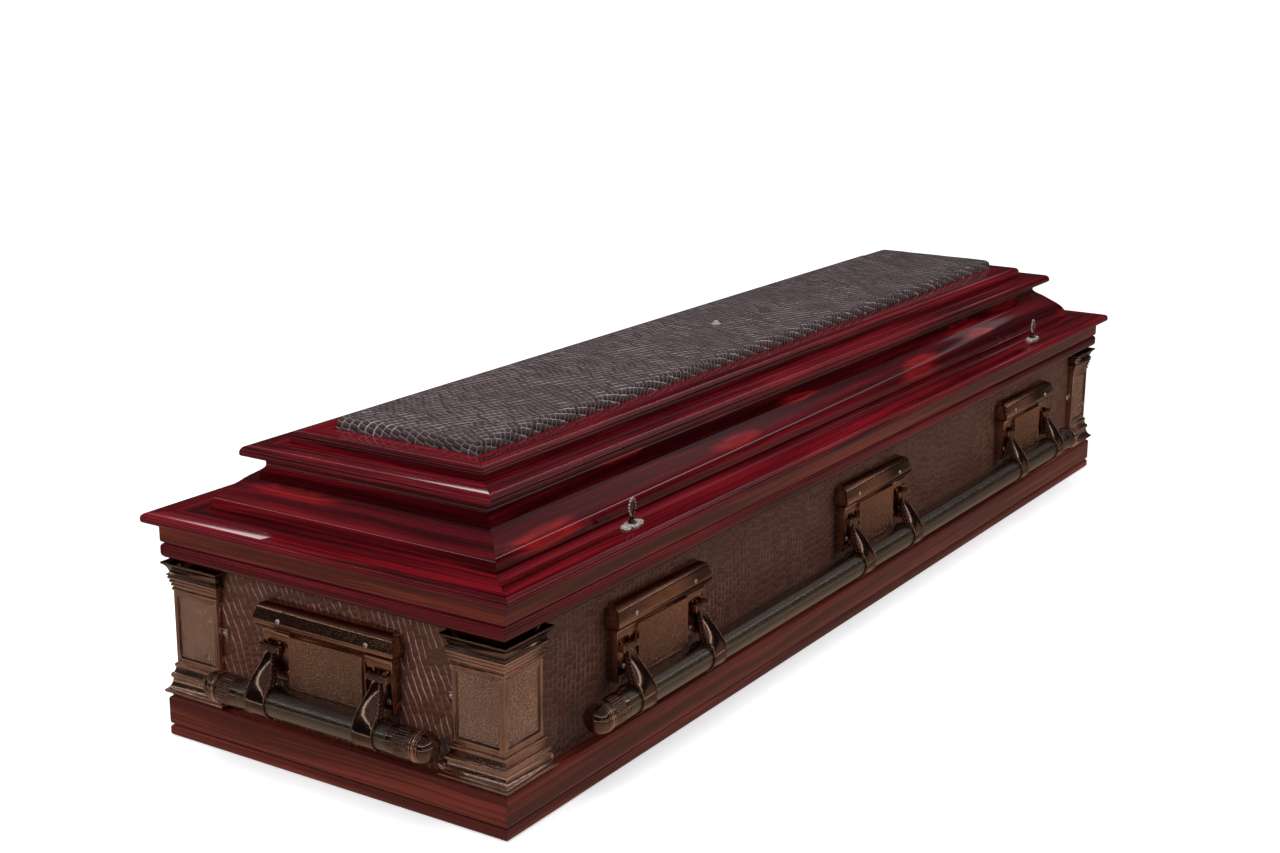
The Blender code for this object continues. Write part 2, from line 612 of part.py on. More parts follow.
def make_handle(name, place, turn, half_bar, centres, meshes, copper, gunmetal):
    """One swing-bar handle under an empty on its hinge axis."""
    hinge = bpy.data.objects.new("hinge_" + name, None)
    hinge.location = place
    hinge.rotation_euler = (0, 0, turn)
    bpy.context.scene.collection.objects.link(hinge)
    bar = turned_mesh("bar_" + name, [(-half_bar, BAR_RADIUS), (half_bar, BAR_RADIUS)],
                      BAR_SIDES, True)
    bar_line = (0, -ARM_REACH, -ARM_DROP)
    add_object("bar_" + name, bar, gunmetal, bar_line, parent=hinge)
    number = 0
    for centre in centres:
        for side in (-1, 1):
            number += 1
            place = (centre + side * ARM_SPACING, 0, 0)
            add_object(f"arm_{name}_{number}", meshes["arm"], copper, place, parent=hinge)
    for side, word in ((1, "a"), (-1, "b")):
        place = (side * (half_bar + GAP), -ARM_REACH, -ARM_DROP)
        turn_cap = 0.0 if side > 0 else math.pi
        add_object(f"end_cap_{name}_{word}", meshes["cap"], copper, place, turn_cap, hinge)


def make_handles(copper, gunmetal):
    """Two long handles on the sides and two short ones on the ends."""
    meshes = {"arm": arm_mesh(),
              "cap": turned_mesh("end_cap", end_cap_outline(), CAP_SIDES, True)}
    side_out = LONG_WALL + PIN_OUT
    end_out = SHORT_WALL + PIN_OUT
    long_centres = (-BRACKET_SPACING, 0.0, BRACKET_SPACING)
    make_handle("front", (0, -side_out, PIN_HEIGHT), 0.0, LONG_BAR_HALF, long_centres,
                meshes, copper, gunmetal)
    make_handle("back", (0, side_out, PIN_HEIGHT), math.pi, LONG_BAR_HALF, long_centres,
                meshes, copper, gunmetal)
    make_handle("left", (-end_out, 0, PIN_HEIGHT), -math.pi / 2, SHORT_BAR_HALF, (0.0,),
                meshes, copper, gunmetal)
    make_handle("right", (end_out, 0, PIN_HEIGHT), math.pi / 2, SHORT_BAR_HALF, (0.0,),
                meshes, copper, gunmetal)


def rose_mesh():
    """The three-lobed plate under a thumbscrew."""
    lobe = ROSE_WIDTH / 2
    reach = ROSE_LENGTH / 2
    outline = []
    for i in range(ROSE_SIDES):
        angle = 2 * math.pi * i / ROSE_SIDES
        waist = 0.72 + 0.28 * math.cos(4 * angle)
        outline.append((reach * math.cos(angle) * (0.86 + 0.14 * waist),
                        lobe * math.sin(angle) * waist + lobe * 0.12 * math.sin(angle)))
    bm = bmesh.new()
    loops = []
    for height, share in ((0.0, 1.0), (ROSE_THICK * 0.55, 1.0), (ROSE_THICK, 0.80)):
        loops.append([bm.verts.new((x * share, y * share, height)) for x, y in outline])
    for lower, upper in zip(loops, loops[1:]):
        bridge(bm, lower, upper)
    bm.faces.new(loops[0])
    bm.faces.new(loops[-1])
    return mesh_from("rose", bm, smooth_angle=35)


def thumbscrew_mesh():
    """A turned stem with a flat leaf-shaped thumb piece."""
    stem = turned_mesh("stem", [(0.0, STEM_RADIUS * 1.6), (STEM_HEIGHT * 0.2, STEM_RADIUS * 1.6),
                                (STEM_HEIGHT * 0.4, STEM_RADIUS * 0.9),
                                (STEM_HEIGHT * 0.75, STEM_RADIUS * 1.25),
                                (STEM_HEIGHT, STEM_RADIUS * 0.8)], STEM_SIDES)
    bm = bmesh.new()
    outline = []
    for t, width in ((0.0, 0.34), (0.16, 0.62), (0.42, 0.98), (0.66, 0.92), (0.86, 0.56),
                     (1.0, 0.12)):
        outline.append((width * WING_WIDTH / 2, STEM_HEIGHT * 0.85 + t * WING_HEIGHT))
    outline += [(-x, z) for x, z in reversed(outline)]
    sides = [[bm.verts.new((x, y * WING_THICK / 2, z)) for x, z in outline] for y in (-1, 1)]
    bridge(bm, sides[0], sides[1])
    bm.faces.new(sides[0])
    bm.faces.new(sides[1])
    wing = mesh_from("wing", bm)
    return combine("thumbscrew", stem, [("UNION", wing, (0, 0, 0))])


def make_thumbscrews(silver, copper):
    """Four thumbscrews on the ledge, each on its own plate."""
    rose, screw = rose_mesh(), thumbscrew_mesh()
    y = HALF_WIDTH - SCREW_SET_BACK
    for side, name in ((-1, "front"), (1, "back")):
        for place, word in ((-1, "left"), (1, "right")):
            spot = (place * SCREW_X, side * y, LEDGE_TOP + GAP)
            add_object(f"screw_plate_{name}_{word}", rose, silver, spot)
            above = (spot[0], spot[1], spot[2] + ROSE_THICK + GAP)
            add_object(f"thumbscrew_{name}_{word}", screw, copper, above)


def main():
    clear_scene()
    wood = make_material("red_lacquered_wood", WOOD_RED, 0.12, 0.0)
    dark_wood = make_material("brown_lacquered_wood", WOOD_BROWN, 0.16, 0.0)
    leather = make_material("embossed_leather", LEATHER, 0.35, 0.0)
    copper = make_material("antique_copper", COPPER, 0.32, 1.0)
    gunmetal = make_material("brushed_gunmetal", GUNMETAL, 0.30, 1.0)
    silver = make_material("bright_silver", SILVER, 0.22, 1.0)
    make_case(wood, dark_wood, leather)
    make_lid(wood, leather)
    make_pilasters(copper)
    make_brackets(copper)
    make_handles(copper, gunmetal)
    make_thumbscrews(silver, copper)


main()
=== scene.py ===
"""Funeral casket: lacquered wood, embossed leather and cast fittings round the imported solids."""
import json
import math

import bmesh
import bpy
from mathutils import Matrix, Vector


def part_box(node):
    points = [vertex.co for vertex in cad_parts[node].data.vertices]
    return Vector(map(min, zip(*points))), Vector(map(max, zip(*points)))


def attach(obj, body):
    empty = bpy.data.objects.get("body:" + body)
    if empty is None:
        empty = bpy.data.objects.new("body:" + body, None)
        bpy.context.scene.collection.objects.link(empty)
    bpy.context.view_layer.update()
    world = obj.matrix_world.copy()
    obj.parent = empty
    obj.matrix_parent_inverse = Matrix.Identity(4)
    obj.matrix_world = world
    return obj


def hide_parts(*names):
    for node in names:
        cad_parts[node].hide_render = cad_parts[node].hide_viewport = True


bl_info = {
    "name": "Funeral Casket",
    "version": (1, 0, 0),
    "blender": (4, 5, 0),
    "location": "3D View > Sidebar > Casket",
    "description": "Lacquered casket with embossed leather panels and cast fittings",
    "category": "Object",
}

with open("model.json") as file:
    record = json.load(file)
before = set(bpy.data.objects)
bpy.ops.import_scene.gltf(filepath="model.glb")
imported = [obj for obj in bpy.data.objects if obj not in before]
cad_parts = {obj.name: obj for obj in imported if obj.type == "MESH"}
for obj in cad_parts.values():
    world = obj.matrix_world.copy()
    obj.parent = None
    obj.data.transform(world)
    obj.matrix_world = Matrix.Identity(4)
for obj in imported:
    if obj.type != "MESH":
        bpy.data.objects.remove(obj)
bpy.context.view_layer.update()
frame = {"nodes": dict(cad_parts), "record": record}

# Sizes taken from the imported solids
HALF_X, HALF_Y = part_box("bottom_board")[1][0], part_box("bottom_board")[1][1]
BOARD_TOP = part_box("bottom_board")[1][2]
PLINTH_LOW, PLINTH_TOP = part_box("plinth_frame")[0][2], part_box("plinth_frame")[1][2]
RIM_LOW, RIM_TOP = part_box("rim_frame")[0][2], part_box("rim_frame")[1][2]
LEDGE_LOW, LEDGE_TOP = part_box("lid_ledge_frame")[0][2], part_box("lid_ledge_frame")[1][2]
LEDGE_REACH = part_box("lid_ledge_frame")[1][0] - HALF_X
DOME_LOW, DOME_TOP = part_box("lid_dome_frame")[0][2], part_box("lid_dome_frame")[1][2]
DOME_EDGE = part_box("lid_dome_frame")[1][0] - HALF_X
CAP_LOW, CAP_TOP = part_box("lid_top_board")[0][2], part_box("lid_top_board")[1][2]
CAP_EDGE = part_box("lid_top_board")[1][0] - HALF_X
STEP_LOW, STEP_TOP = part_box("lid_step_board")[0][2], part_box("lid_step_board")[1][2]
STEP_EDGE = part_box("lid_step_board")[1][0] - HALF_X
PAD_LOW, PAD_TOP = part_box("lid_pad")[0][2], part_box("lid_pad")[1][2]
PAD_X, PAD_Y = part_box("lid_pad")[1][0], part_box("lid_pad")[1][1]
WALL_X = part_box("side_wall_front")[1][0]
WALL_Y = -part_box("side_wall_front")[0][1]
JOINTS = {joint["child"]: joint for joint in frame["record"]["behaviour"]["joints"]}
PIN_OUT = -JOINTS["front_handle"]["pos_m"][1] - WALL_Y
PIN_HEIGHT = JOINTS["front_handle"]["pos_m"][2]
BRACKET_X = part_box("bracket_front_right")[0][0] / 2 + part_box("bracket_front_right")[1][0] / 2
BRACKET_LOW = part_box("bracket_front_middle")[0][2]
BAR_RADIUS = (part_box("bar_left")[1][2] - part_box("bar_left")[0][2]) / 2 / math.cos(math.pi / 12)
BAR_DROP = PIN_HEIGHT - (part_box("bar_left")[1][2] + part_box("bar_left")[0][2]) / 2
BAR_REACH = -(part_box("bar_front")[0][1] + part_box("bar_front")[1][1]) / 2 - WALL_Y - PIN_OUT
SCREW_X = (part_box("screw_plate_front_right")[0][0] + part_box("screw_plate_front_right")[1][0]) / 2
SCREW_Y = -(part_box("screw_plate_front_right")[0][1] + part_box("screw_plate_front_right")[1][1]) / 2

# Sizes that several pieces share
GAP = 0.0003
ARM_SPACING = 0.0930
HOOD_RISE = 0.0325
LEG_REACH = 0.0820
SHAFT_INSET = 0.0103
TAB_HEIGHT = 0.1675
SLEEVE_HALF = 0.0170

# Camera solved from the picture's edges: place, turn in degrees, and lens for a 36 mm sensor
CAMERA_PLACE = (-2.75932, -1.59781, 1.11100)
CAMERA_TURN = (-57.2705, 14.8274, 0.4226)
CAMERA_LENS = 53.287

# Name, place, aim, width, height and power of each lamp
SOFTBOXES = (
    ("softbox above", (-0.8, -0.3, 2.9), (-0.6, 0, 0.3), 2.4, 1.6, 56),
    ("softbox left", (-3.4, 0.6, 1.6), (-0.6, 0, 0.35), 1.6, 1.2, 46),
    ("softbox right", (1.6, -3.2, 1.9), (0.3, 0, 0.2), 2.2, 1.0, 60),
)

# Reflected room: share of the way from floor to ceiling, and colour
ROOM_BANDS = (
    (0.18, (0.34, 0.26, 0.21, 1)), (0.37, (0.19, 0.135, 0.11, 1)), (0.43, (0.10, 0.065, 0.055, 1)),
    (0.50, (0.022, 0.015, 0.015, 1)), (0.66, (0.018, 0.015, 0.017, 1)),
    (0.73, (0.075, 0.062, 0.068, 1)), (0.78, (0.22, 0.185, 0.20, 1)),
    (0.83, (0.09, 0.075, 0.08, 1)), (1.0, (0.11, 0.10, 0.105, 1)),
)
FILL_BANDS = ((0.30, (0.34, 0.33, 0.32, 1)), (0.50, (0.30, 0.30, 0.31, 1)),
              (1.0, (0.62, 0.62, 0.64, 1)))

ARC_STEPS = 7
TAU = 2 * math.pi


class CasketSizes(bpy.types.PropertyGroup):
    plinth_round: bpy.props.FloatProperty(
        name="Plinth Rounding", description="Radius of the plinth's arrises", default=0.0050,
        min=0.001, max=0.02, unit="LENGTH")
    pad_crown: bpy.props.FloatProperty(
        name="Pad Crown", description="How far the padded panel swells above its edge",
        default=0.0022,
        min=0.0, max=0.01, unit="LENGTH")
    pad_round: bpy.props.FloatProperty(
        name="Pad Rounding", description="Radius of the padded panel's top edge", default=0.0095,
        min=0.001, max=0.02, unit="LENGTH")
    scale_width: bpy.props.FloatProperty(
        name="Scale Width", description="Width of one embossed scale", default=0.0105,
        min=0.002, max=0.05, unit="LENGTH")
    scale_height: bpy.props.FloatProperty(
        name="Scale Height", description="Height of one embossed scale", default=0.0120,
        min=0.002, max=0.05, unit="LENGTH")
    hammer_size: bpy.props.FloatProperty(
        name="Hammer Mark", description="Size of the marks in the pilaster panels", default=0.0014,
        min=0.0004, max=0.01, unit="LENGTH")
    pilaster_border: bpy.props.FloatProperty(
        name="Pilaster Border", description="Plain border round a pilaster's panel", default=0.0062,
        min=0.001, max=0.02, unit="LENGTH")
    flutes: bpy.props.IntProperty(
        name="Flutes", description="Flutes round a bar's end cap", default=28, min=6, max=60)


class CasketColours(bpy.types.PropertyGroup):
    wood_dark: bpy.props.FloatVectorProperty(
        name="Wood Shadow", description="Darkest grain under the lacquer", subtype="COLOR", size=4,
        min=0, max=1, default=(0.012, 0.0012, 0.0018, 1))
    wood_red: bpy.props.FloatVectorProperty(
        name="Wood Red", description="Main colour of the lid", subtype="COLOR", size=4,
        min=0, max=1, default=(0.125, 0.0052, 0.0095, 1))
    wood_glow: bpy.props.FloatVectorProperty(
        name="Wood Glow", description="Bright red figure and knots", subtype="COLOR", size=4,
        min=0, max=1, default=(0.42, 0.016, 0.020, 1))
    base_red: bpy.props.FloatVectorProperty(
        name="Base Red", description="Main colour of the rim and plinth", subtype="COLOR", size=4,
        min=0, max=1, default=(0.170, 0.027, 0.0175, 1))
    leather: bpy.props.FloatVectorProperty(
        name="Leather", description="Embossed leather of the panels", subtype="COLOR", size=4,
        min=0, max=1, default=(0.082, 0.0295, 0.0180, 1))
    copper: bpy.props.FloatVectorProperty(
        name="Copper", description="Antique copper castings", subtype="COLOR", size=4,
        min=0, max=1, default=(0.72, 0.47, 0.355, 1))
    gunmetal: bpy.props.FloatVectorProperty(
        name="Gunmetal", description="Brushed grip bars", subtype="COLOR", size=4,
        min=0, max=1, default=(0.27, 0.235, 0.190, 1))
    silver: bpy.props.FloatVectorProperty(
        name="Silver", description="Bright screws and plates", subtype="COLOR", size=4,
        min=0, max=1, default=(0.72, 0.68, 0.66, 1))


# Shader helpers

def add_node(tree, kind, inputs=None, **settings):
    """Add a node, set its settings, and fill or link its inputs."""
    node = tree.nodes.new(kind)
    for name, value in settings.items():
        setattr(node, name, value)
    for key, value in (inputs or {}).items():
        socket = node.inputs[key]
        if isinstance(value, bpy.types.NodeSocket):
            tree.links.new(value, socket)
        else:
            socket.default_value = value
    return node


def maths(tree, operation, *values):
    """One Math node and its output."""
    node = add_node(tree, "ShaderNodeMath", dict(enumerate(values)), operation=operation)
    return node.outputs[0]


def ramp(tree, factor, stops):
    """A colour ramp through (place, colour) stops."""
    node = add_node(tree, "ShaderNodeValToRGB", {"Fac": factor})
    bands = node.color_ramp.elements
    bands[0].position, bands[0].color = stops[0]
    bands[1].position, bands[1].color = stops[-1]
    for place, colour in stops[1:-1]:
        bands.new(place).color = colour
    return node.outputs["Color"]


def smooth_step(tree, value, low, high, to_low=0.0, to_high=1.0):
    """A smooth change of value from one level to another."""
    node = add_node(tree, "ShaderNodeMapRange", {0: value, 1: low, 2: high, 3: to_low, 4: to_high},
                    interpolation_type="SMOOTHSTEP")
    return node.outputs[0]


def blend(tree, factor, first, second, kind="MIX"):
    """Mix two colours."""
    node = add_node(tree, "ShaderNodeMix", {0: factor, 6: first, 7: second}, data_type="RGBA",
                    blend_type=kind)
    return node.outputs[2]


def vector_maths(tree, operation, first, second):
    """One Vector Math node and its vector."""
    node = add_node(tree, "ShaderNodeVectorMath", {0: first, 1: second}, operation=operation)
    return node.outputs[0]


def noise(tree, place, scale, detail, roughness=0.5):
    """The outputs of a Noise Texture node."""
    return add_node(tree, "ShaderNodeTexNoise", {"Vector": place, "Scale": scale, "Detail": detail,
                                                 "Roughness": roughness}).outputs


def new_group(name, inputs, outputs):
    """A shader node group with named sockets."""
    tree = bpy.data.node_groups.new(name, "ShaderNodeTree")
    kinds = {"vector": "NodeSocketVector", "value": "NodeSocketFloat", "colour": "NodeSocketColor"}
    for label, kind in inputs:
        tree.interface.new_socket(label, in_out="INPUT", socket_type=kinds[kind])
    for label, kind in outputs:
        tree.interface.new_socket(label, in_out="OUTPUT", socket_type=kinds[kind])
    return tree, tree.nodes.new("NodeGroupInput").outputs, tree.nodes.new("NodeGroupOutput").inputs


def grain_group():
    """Streaks, broad bands and knots of a sawn board, from coordinates in metres."""
    name = "Board Grain"
    if name in bpy.data.node_groups:
        return bpy.data.node_groups[name]
    tree, given, out = new_group(name, [("Place", "vector"), ("Knots", "value")],
                                 [("Streak", "value"), ("Knot", "value"), ("Halo", "value")])
    place = given["Place"]
    drift = vector_maths(tree, "MULTIPLY", noise(tree, place, 5.0, 2.0)["Color"], (0.0, 0.016, 0.0))
    bent = vector_maths(tree, "ADD", place, drift)
    spaced = vector_maths(tree, "MULTIPLY", bent, (4.2, 30.0, 1.0))
    spots = add_node(tree, "ShaderNodeTexVoronoi", {"Vector": spaced, "Scale": 1.0},
                     voronoi_dimensions="2D")
    chosen = add_node(tree, "ShaderNodeSeparateColor", {0: spots.outputs["Color"]})
    gate = smooth_step(tree, chosen.outputs[0], 0.46, 0.50)
    gate = maths(tree, "MULTIPLY", gate, given["Knots"])
    apart = spots.outputs["Distance"]
    knot = maths(tree, "MULTIPLY", smooth_step(tree, apart, 0.07, 0.16, 1.0, 0.0), gate)
    halo = maths(tree, "MULTIPLY", smooth_step(tree, apart, 0.12, 0.42, 1.0, 0.0), gate)
    push = add_node(tree, "ShaderNodeCombineXYZ", {1: maths(tree, "MULTIPLY", halo, 0.008)})
    round_knots = vector_maths(tree, "ADD", bent, push.outputs[0])
    fine = vector_maths(tree, "MULTIPLY", round_knots, (2.6, 230.0, 1.0))
    broad = vector_maths(tree, "MULTIPLY", round_knots, (1.2, 42.0, 1.0))
    streak, band = noise(tree, fine, 1.0, 5.0, 0.62), noise(tree, broad, 1.0, 3.0, 0.55)
    both = maths(tree, "ADD", maths(tree, "MULTIPLY", streak["Fac"], 0.42),
                 maths(tree, "MULTIPLY", band["Fac"], 0.58))
    tree.links.new(both, out["Streak"])
    tree.links.new(knot, out["Knot"])
    tree.links.new(halo, out["Halo"])
    return tree


def scales_group():
    """Rows of crocodile scales: height, lines along and across the rows, and each scale's tone."""
    name = "Embossed Scales"
    if name in bpy.data.node_groups:
        return bpy.data.node_groups[name]
    tree, given, out = new_group(
        name, [("Place", "vector"), ("Size", "vector"), ("Bend", "value"), ("Turn", "value")],
        [("Height", "value"), ("Rows", "value"), ("Joints", "value"), ("Tone", "value")])
    place = given["Place"]
    centred = vector_maths(tree, "SUBTRACT", noise(tree, place, 4.0, 1.0)["Color"], (0.5, 0.5, 0.5))
    bend = add_node(tree, "ShaderNodeVectorMath", {0: centred, "Scale": given["Bend"]},
                    operation="SCALE")
    shaken = add_node(tree, "ShaderNodeVectorMath",
                      {0: noise(tree, place, 70.0, 1.0)["Color"], "Scale": 0.0040},
                      operation="SCALE")
    bent = vector_maths(tree, "ADD", vector_maths(tree, "ADD", place, bend.outputs[0]),
                        shaken.outputs[0])
    turned = add_node(tree, "ShaderNodeVectorRotate", {"Vector": bent, "Angle": given["Turn"]},
                      rotation_type="Z_AXIS")
    cells = vector_maths(tree, "DIVIDE", turned.outputs[0], given["Size"])
    parts = add_node(tree, "ShaderNodeSeparateXYZ", {0: cells})
    row = maths(tree, "FLOOR", parts.outputs[1])
    shift = add_node(tree, "ShaderNodeTexWhiteNoise", {"W": row},
                     noise_dimensions="1D").outputs["Value"]
    along = maths(tree, "ADD", parts.outputs[0], shift)
    to_row = maths(tree, "PINGPONG", parts.outputs[1], 0.5)
    to_joint = maths(tree, "PINGPONG", along, 0.5)
    rows = smooth_step(tree, to_row, 0.02, 0.11, 1.0, 0.0)
    joints = smooth_step(tree, to_joint, 0.0, 0.08, 1.0, 0.0)
    crown = maths(tree, "MULTIPLY", smooth_step(tree, to_row, 0.0, 0.42),
                  smooth_step(tree, to_joint, 0.0, 0.38))
    pore = noise(tree, place, 700.0, 2.0)["Fac"]
    height = maths(tree, "ADD", crown, maths(tree, "MULTIPLY", pore, 0.10))
    spot = add_node(tree, "ShaderNodeCombineXYZ", {0: maths(tree, "FLOOR", along), 1: row})
    tone = add_node(tree, "ShaderNodeTexWhiteNoise", {"Vector": spot.outputs[0]},
                    noise_dimensions="2D")
    tree.links.new(height, out["Height"])
    tree.links.new(rows, out["Rows"])
    tree.links.new(joints, out["Joints"])
    tree.links.new(tone.outputs["Value"], out["Tone"])
    return tree


def patina_group():
    """Uneven tarnish and fine scratches on metal, from object coordinates."""
    name = "Metal Patina"
    if name in bpy.data.node_groups:
        return bpy.data.node_groups[name]
    tree, given, out = new_group(name, [("Place", "vector")],
                                 [("Tarnish", "value"), ("Fine", "value")])
    broad = noise(tree, given["Place"], 32.0, 4.0, 0.6)["Fac"]
    tree.links.new(smooth_step(tree, broad, 0.35, 0.68), out["Tarnish"])
    tree.links.new(noise(tree, given["Place"], 420.0, 3.0, 0.6)["Fac"], out["Fine"])
    return tree


def use_group(tree, group, inputs):
    """Place a node group in a material."""
    node = tree.nodes.new("ShaderNodeGroup")
    node.node_tree = group
    for key, value in inputs.items():
        if isinstance(value, bpy.types.NodeSocket):
            tree.links.new(value, node.inputs[key])
        else:
            node.inputs[key].default_value = value
    return node.outputs


def new_material(name, **fixed):
    """A material with a Principled shader whose fixed values are set on its sockets."""
    mat = bpy.data.materials.new(name)
    mat.use_nodes = True
    shader = mat.node_tree.nodes["Principled BSDF"]
    for key, value in fixed.items():
        shader.inputs[key.replace("_", " ").title().replace("Ior", "IOR")].default_value = value
    return mat, mat.node_tree, shader


def scaled(colour, factor):
    """A colour made lighter or darker."""
    return (colour[0] * factor, colour[1] * factor, colour[2] * factor, 1)


def add_bump(tree, shader, height, distance, strength=1.0):
    """Relief from a height, on the shader's normal."""
    bump = add_node(tree, "ShaderNodeBump", {"Height": height, "Distance": distance,
                                             "Strength": strength})
    tree.links.new(bump.outputs[0], shader.inputs["Normal"])


def wood_material(name, dark, main, glow, knots):
    """High-gloss lacquer over figured wood, from the grain map of each board."""
    if name in bpy.data.materials:
        return bpy.data.materials[name]
    mat, tree, shader = new_material(name, roughness=0.42, coat_roughness=0.035, coat_ior=1.5,
                                     coat_weight=1.0, specular_ior_level=0.0)
    place = add_node(tree, "ShaderNodeUVMap", uv_map="grain").outputs[0]
    grain = use_group(tree, grain_group(), {"Place": place, "Knots": knots})
    deep = ramp(tree, grain["Streak"], [(0.37, dark), (0.475, scaled(main, 0.45)), (0.57, main),
                                        (0.74, blend_rgb(main, glow, 0.30))])
    flame = maths(tree, "MULTIPLY", grain["Halo"],
                  smooth_step(tree, grain["Streak"], 0.36, 0.64, 0.06, 0.72))
    lit = blend(tree, flame, deep, glow)
    whole = blend(tree, maths(tree, "MULTIPLY", grain["Knot"], 0.28), lit, scaled(dark, 1.6))
    joint = mitre_line(tree)
    tree.links.new(blend(tree, maths(tree, "MULTIPLY", joint, 0.7), whole, scaled(dark, 0.6)),
                   shader.inputs["Base Color"])
    relief = maths(tree, "SUBTRACT", maths(tree, "MULTIPLY", grain["Streak"], 0.12), joint)
    add_bump(tree, shader, relief, 0.00025, 0.55)
    return mat


def blend_rgb(first, second, share):
    """A colour between two others."""
    return tuple(a + (b - a) * share for a, b in zip(first, second))


def mitre_line(tree):
    """A mask of the fine joint line where two boards meet at a corner."""
    place = add_node(tree, "ShaderNodeTexCoord").outputs["Object"]
    parts = add_node(tree, "ShaderNodeSeparateXYZ", {0: place})
    x = maths(tree, "SUBTRACT", maths(tree, "ABSOLUTE", parts.outputs[0]), HALF_X)
    y = maths(tree, "SUBTRACT", maths(tree, "ABSOLUTE", parts.outputs[1]), HALF_Y)
    apart = maths(tree, "ABSOLUTE", maths(tree, "SUBTRACT", x, y))
    return smooth_step(tree, apart, 0.0, 0.0008, 1.0, 0.0)


def leather_material(name, colour, size, bend, turn, relief, glint, line=(0.36, 0.29, 0.27, 1)):
    """Embossed crocodile leather on upright panels or the flat pad, with painted glints along the
    scale lines.
    """
    if name in bpy.data.materials:
        return bpy.data.materials[name]
    mat, tree, shader = new_material(name, roughness=0.50, coat_roughness=0.24, coat_weight=0.16)
    parts = add_node(tree, "ShaderNodeSeparateXYZ",
                     {0: add_node(tree, "ShaderNodeTexCoord").outputs["Object"]})
    if name.endswith("pad"):
        drop = maths(tree, "SUBTRACT", PAD_TOP, parts.outputs[2])
        inset = [maths(tree, "SUBTRACT", maths(tree, "ABSOLUTE", parts.outputs[i]), half)
                 for i, half in enumerate((PAD_X, PAD_Y))]
        spots = []
        for i in range(2):
            side = maths(tree, "GREATER_THAN", inset[i], inset[1 - i])
            side = maths(tree, "MULTIPLY", side, maths(tree, "SIGN", parts.outputs[i]))
            spots.append(maths(tree, "ADD", parts.outputs[i], maths(tree, "MULTIPLY", side, drop)))
        place = add_node(tree, "ShaderNodeCombineXYZ", dict(enumerate(spots)))
    else:
        along = maths(tree, "ADD", parts.outputs[0], parts.outputs[1])
        place = add_node(tree, "ShaderNodeCombineXYZ", {0: along, 1: parts.outputs[2]})
    scales = use_group(tree, scales_group(), {"Place": place.outputs[0], "Size": size,
                                              "Bend": bend, "Turn": turn})
    # This noise only sets how strong the painted glints are from place to place.
    glint_spread = smooth_step(tree, noise(tree, place.outputs[0], 9.0, 3.0)["Fac"], 0.38, 0.66)
    patch = smooth_step(tree, scales["Tone"], 0.30, 0.75)
    body = blend(tree, scales["Tone"], scaled(colour, 0.88), scaled(colour, 1.12))
    # Painted highlight: the row and joint lines are lightened towards a light tint, given by line, to
    # stand for glints off the scale edges.
    rows = maths(tree, "MULTIPLY", maths(tree, "MULTIPLY", scales["Rows"], patch),
                 maths(tree, "MULTIPLY_ADD", glint_spread, glint[0], glint[1]))
    rows = maths(tree, "MAXIMUM", rows, maths(tree, "MULTIPLY", scales["Joints"], glint[2]))
    whole = blend(tree, rows, body, blend_rgb(scaled(colour, 5.0), line, 0.55))
    tree.links.new(whole, shader.inputs["Base Color"])
    add_bump(tree, shader, scales["Height"], relief)
    return mat


def metal_material(name, colour, roughness, tarnish=0.35, hammer=0.0, brushed=False, metallic=1.0):
    """Cast or drawn metal with a patina, and hammer marks or brushing where asked; hammer marks carry
    painted glitter.
    """
    if name in bpy.data.materials:
        return bpy.data.materials[name]
    mat, tree, shader = new_material(name, metallic=metallic)
    place = add_node(tree, "ShaderNodeTexCoord").outputs["Object"]
    patina = use_group(tree, patina_group(), {"Place": place})
    shade = blend(tree, maths(tree, "MULTIPLY", patina["Tarnish"], tarnish), colour,
                  scaled(colour, 0.45))
    rough = smooth_step(tree, patina["Fine"], 0.2, 0.8, roughness * 0.88, roughness * 1.15)
    depth = 0.0
    if hammer:
        marks = noise(tree, place, 1 / hammer, 2.0, 0.7)["Fac"]
        pits = add_node(tree, "ShaderNodeTexVoronoi", {"Vector": place, "Scale": 1 / hammer})
        height = maths(tree, "ADD", marks,
                       maths(tree, "MULTIPLY", pits.outputs["Distance"], 0.8))
        depth = hammer * 0.60
        # Painted highlight: the crests of the hammer marks are lighter to stand for glitter; the pits
        # are darker, as patina.
        shade = blend(tree, smooth_step(tree, height, 0.55, 1.15), scaled(colour, 0.42),
                      scaled(colour, 1.35))
    if brushed:
        parts = add_node(tree, "ShaderNodeSeparateXYZ", {0: place})
        across = maths(tree, "ADD", maths(tree, "MULTIPLY", parts.outputs[2], 3.0),
                       maths(tree, "ADD", parts.outputs[0], parts.outputs[1]))
        lines = add_node(tree, "ShaderNodeCombineXYZ", {0: maths(tree, "MULTIPLY", across, 0.6),
                                                        1: maths(tree, "MULTIPLY", parts.outputs[2],
                                                                 900.0)})
        hair = noise(tree, lines.outputs[0], 1.0, 3.0)["Fac"]
        rough = smooth_step(tree, hair, 0.25, 0.75, roughness * 0.8, roughness * 1.25)
        height = maths(tree, "MULTIPLY", hair, 0.25)
        depth = 0.00001
    tree.links.new(shade, shader.inputs["Base Color"])
    tree.links.new(rough, shader.inputs["Roughness"])
    if depth:
        add_bump(tree, shader, height, depth)
    return mat


def colours():
    """The colours as plain tuples, by name."""
    group = bpy.context.scene.casket_colours
    return {name: tuple(getattr(group, name)) for name in CasketColours.__annotations__}


def lid_wood():
    """The lid's crimson wood."""
    tint = colours()
    return wood_material("crimson wood", tint["wood_dark"], tint["wood_red"], tint["wood_glow"],
                         0.15)


def dome_wood():
    """The dome's darker, knotty wood."""
    tint = colours()
    return wood_material("knotty crimson wood", tint["wood_dark"], scaled(tint["wood_red"], 0.62),
                         tint["wood_glow"], 1.0)


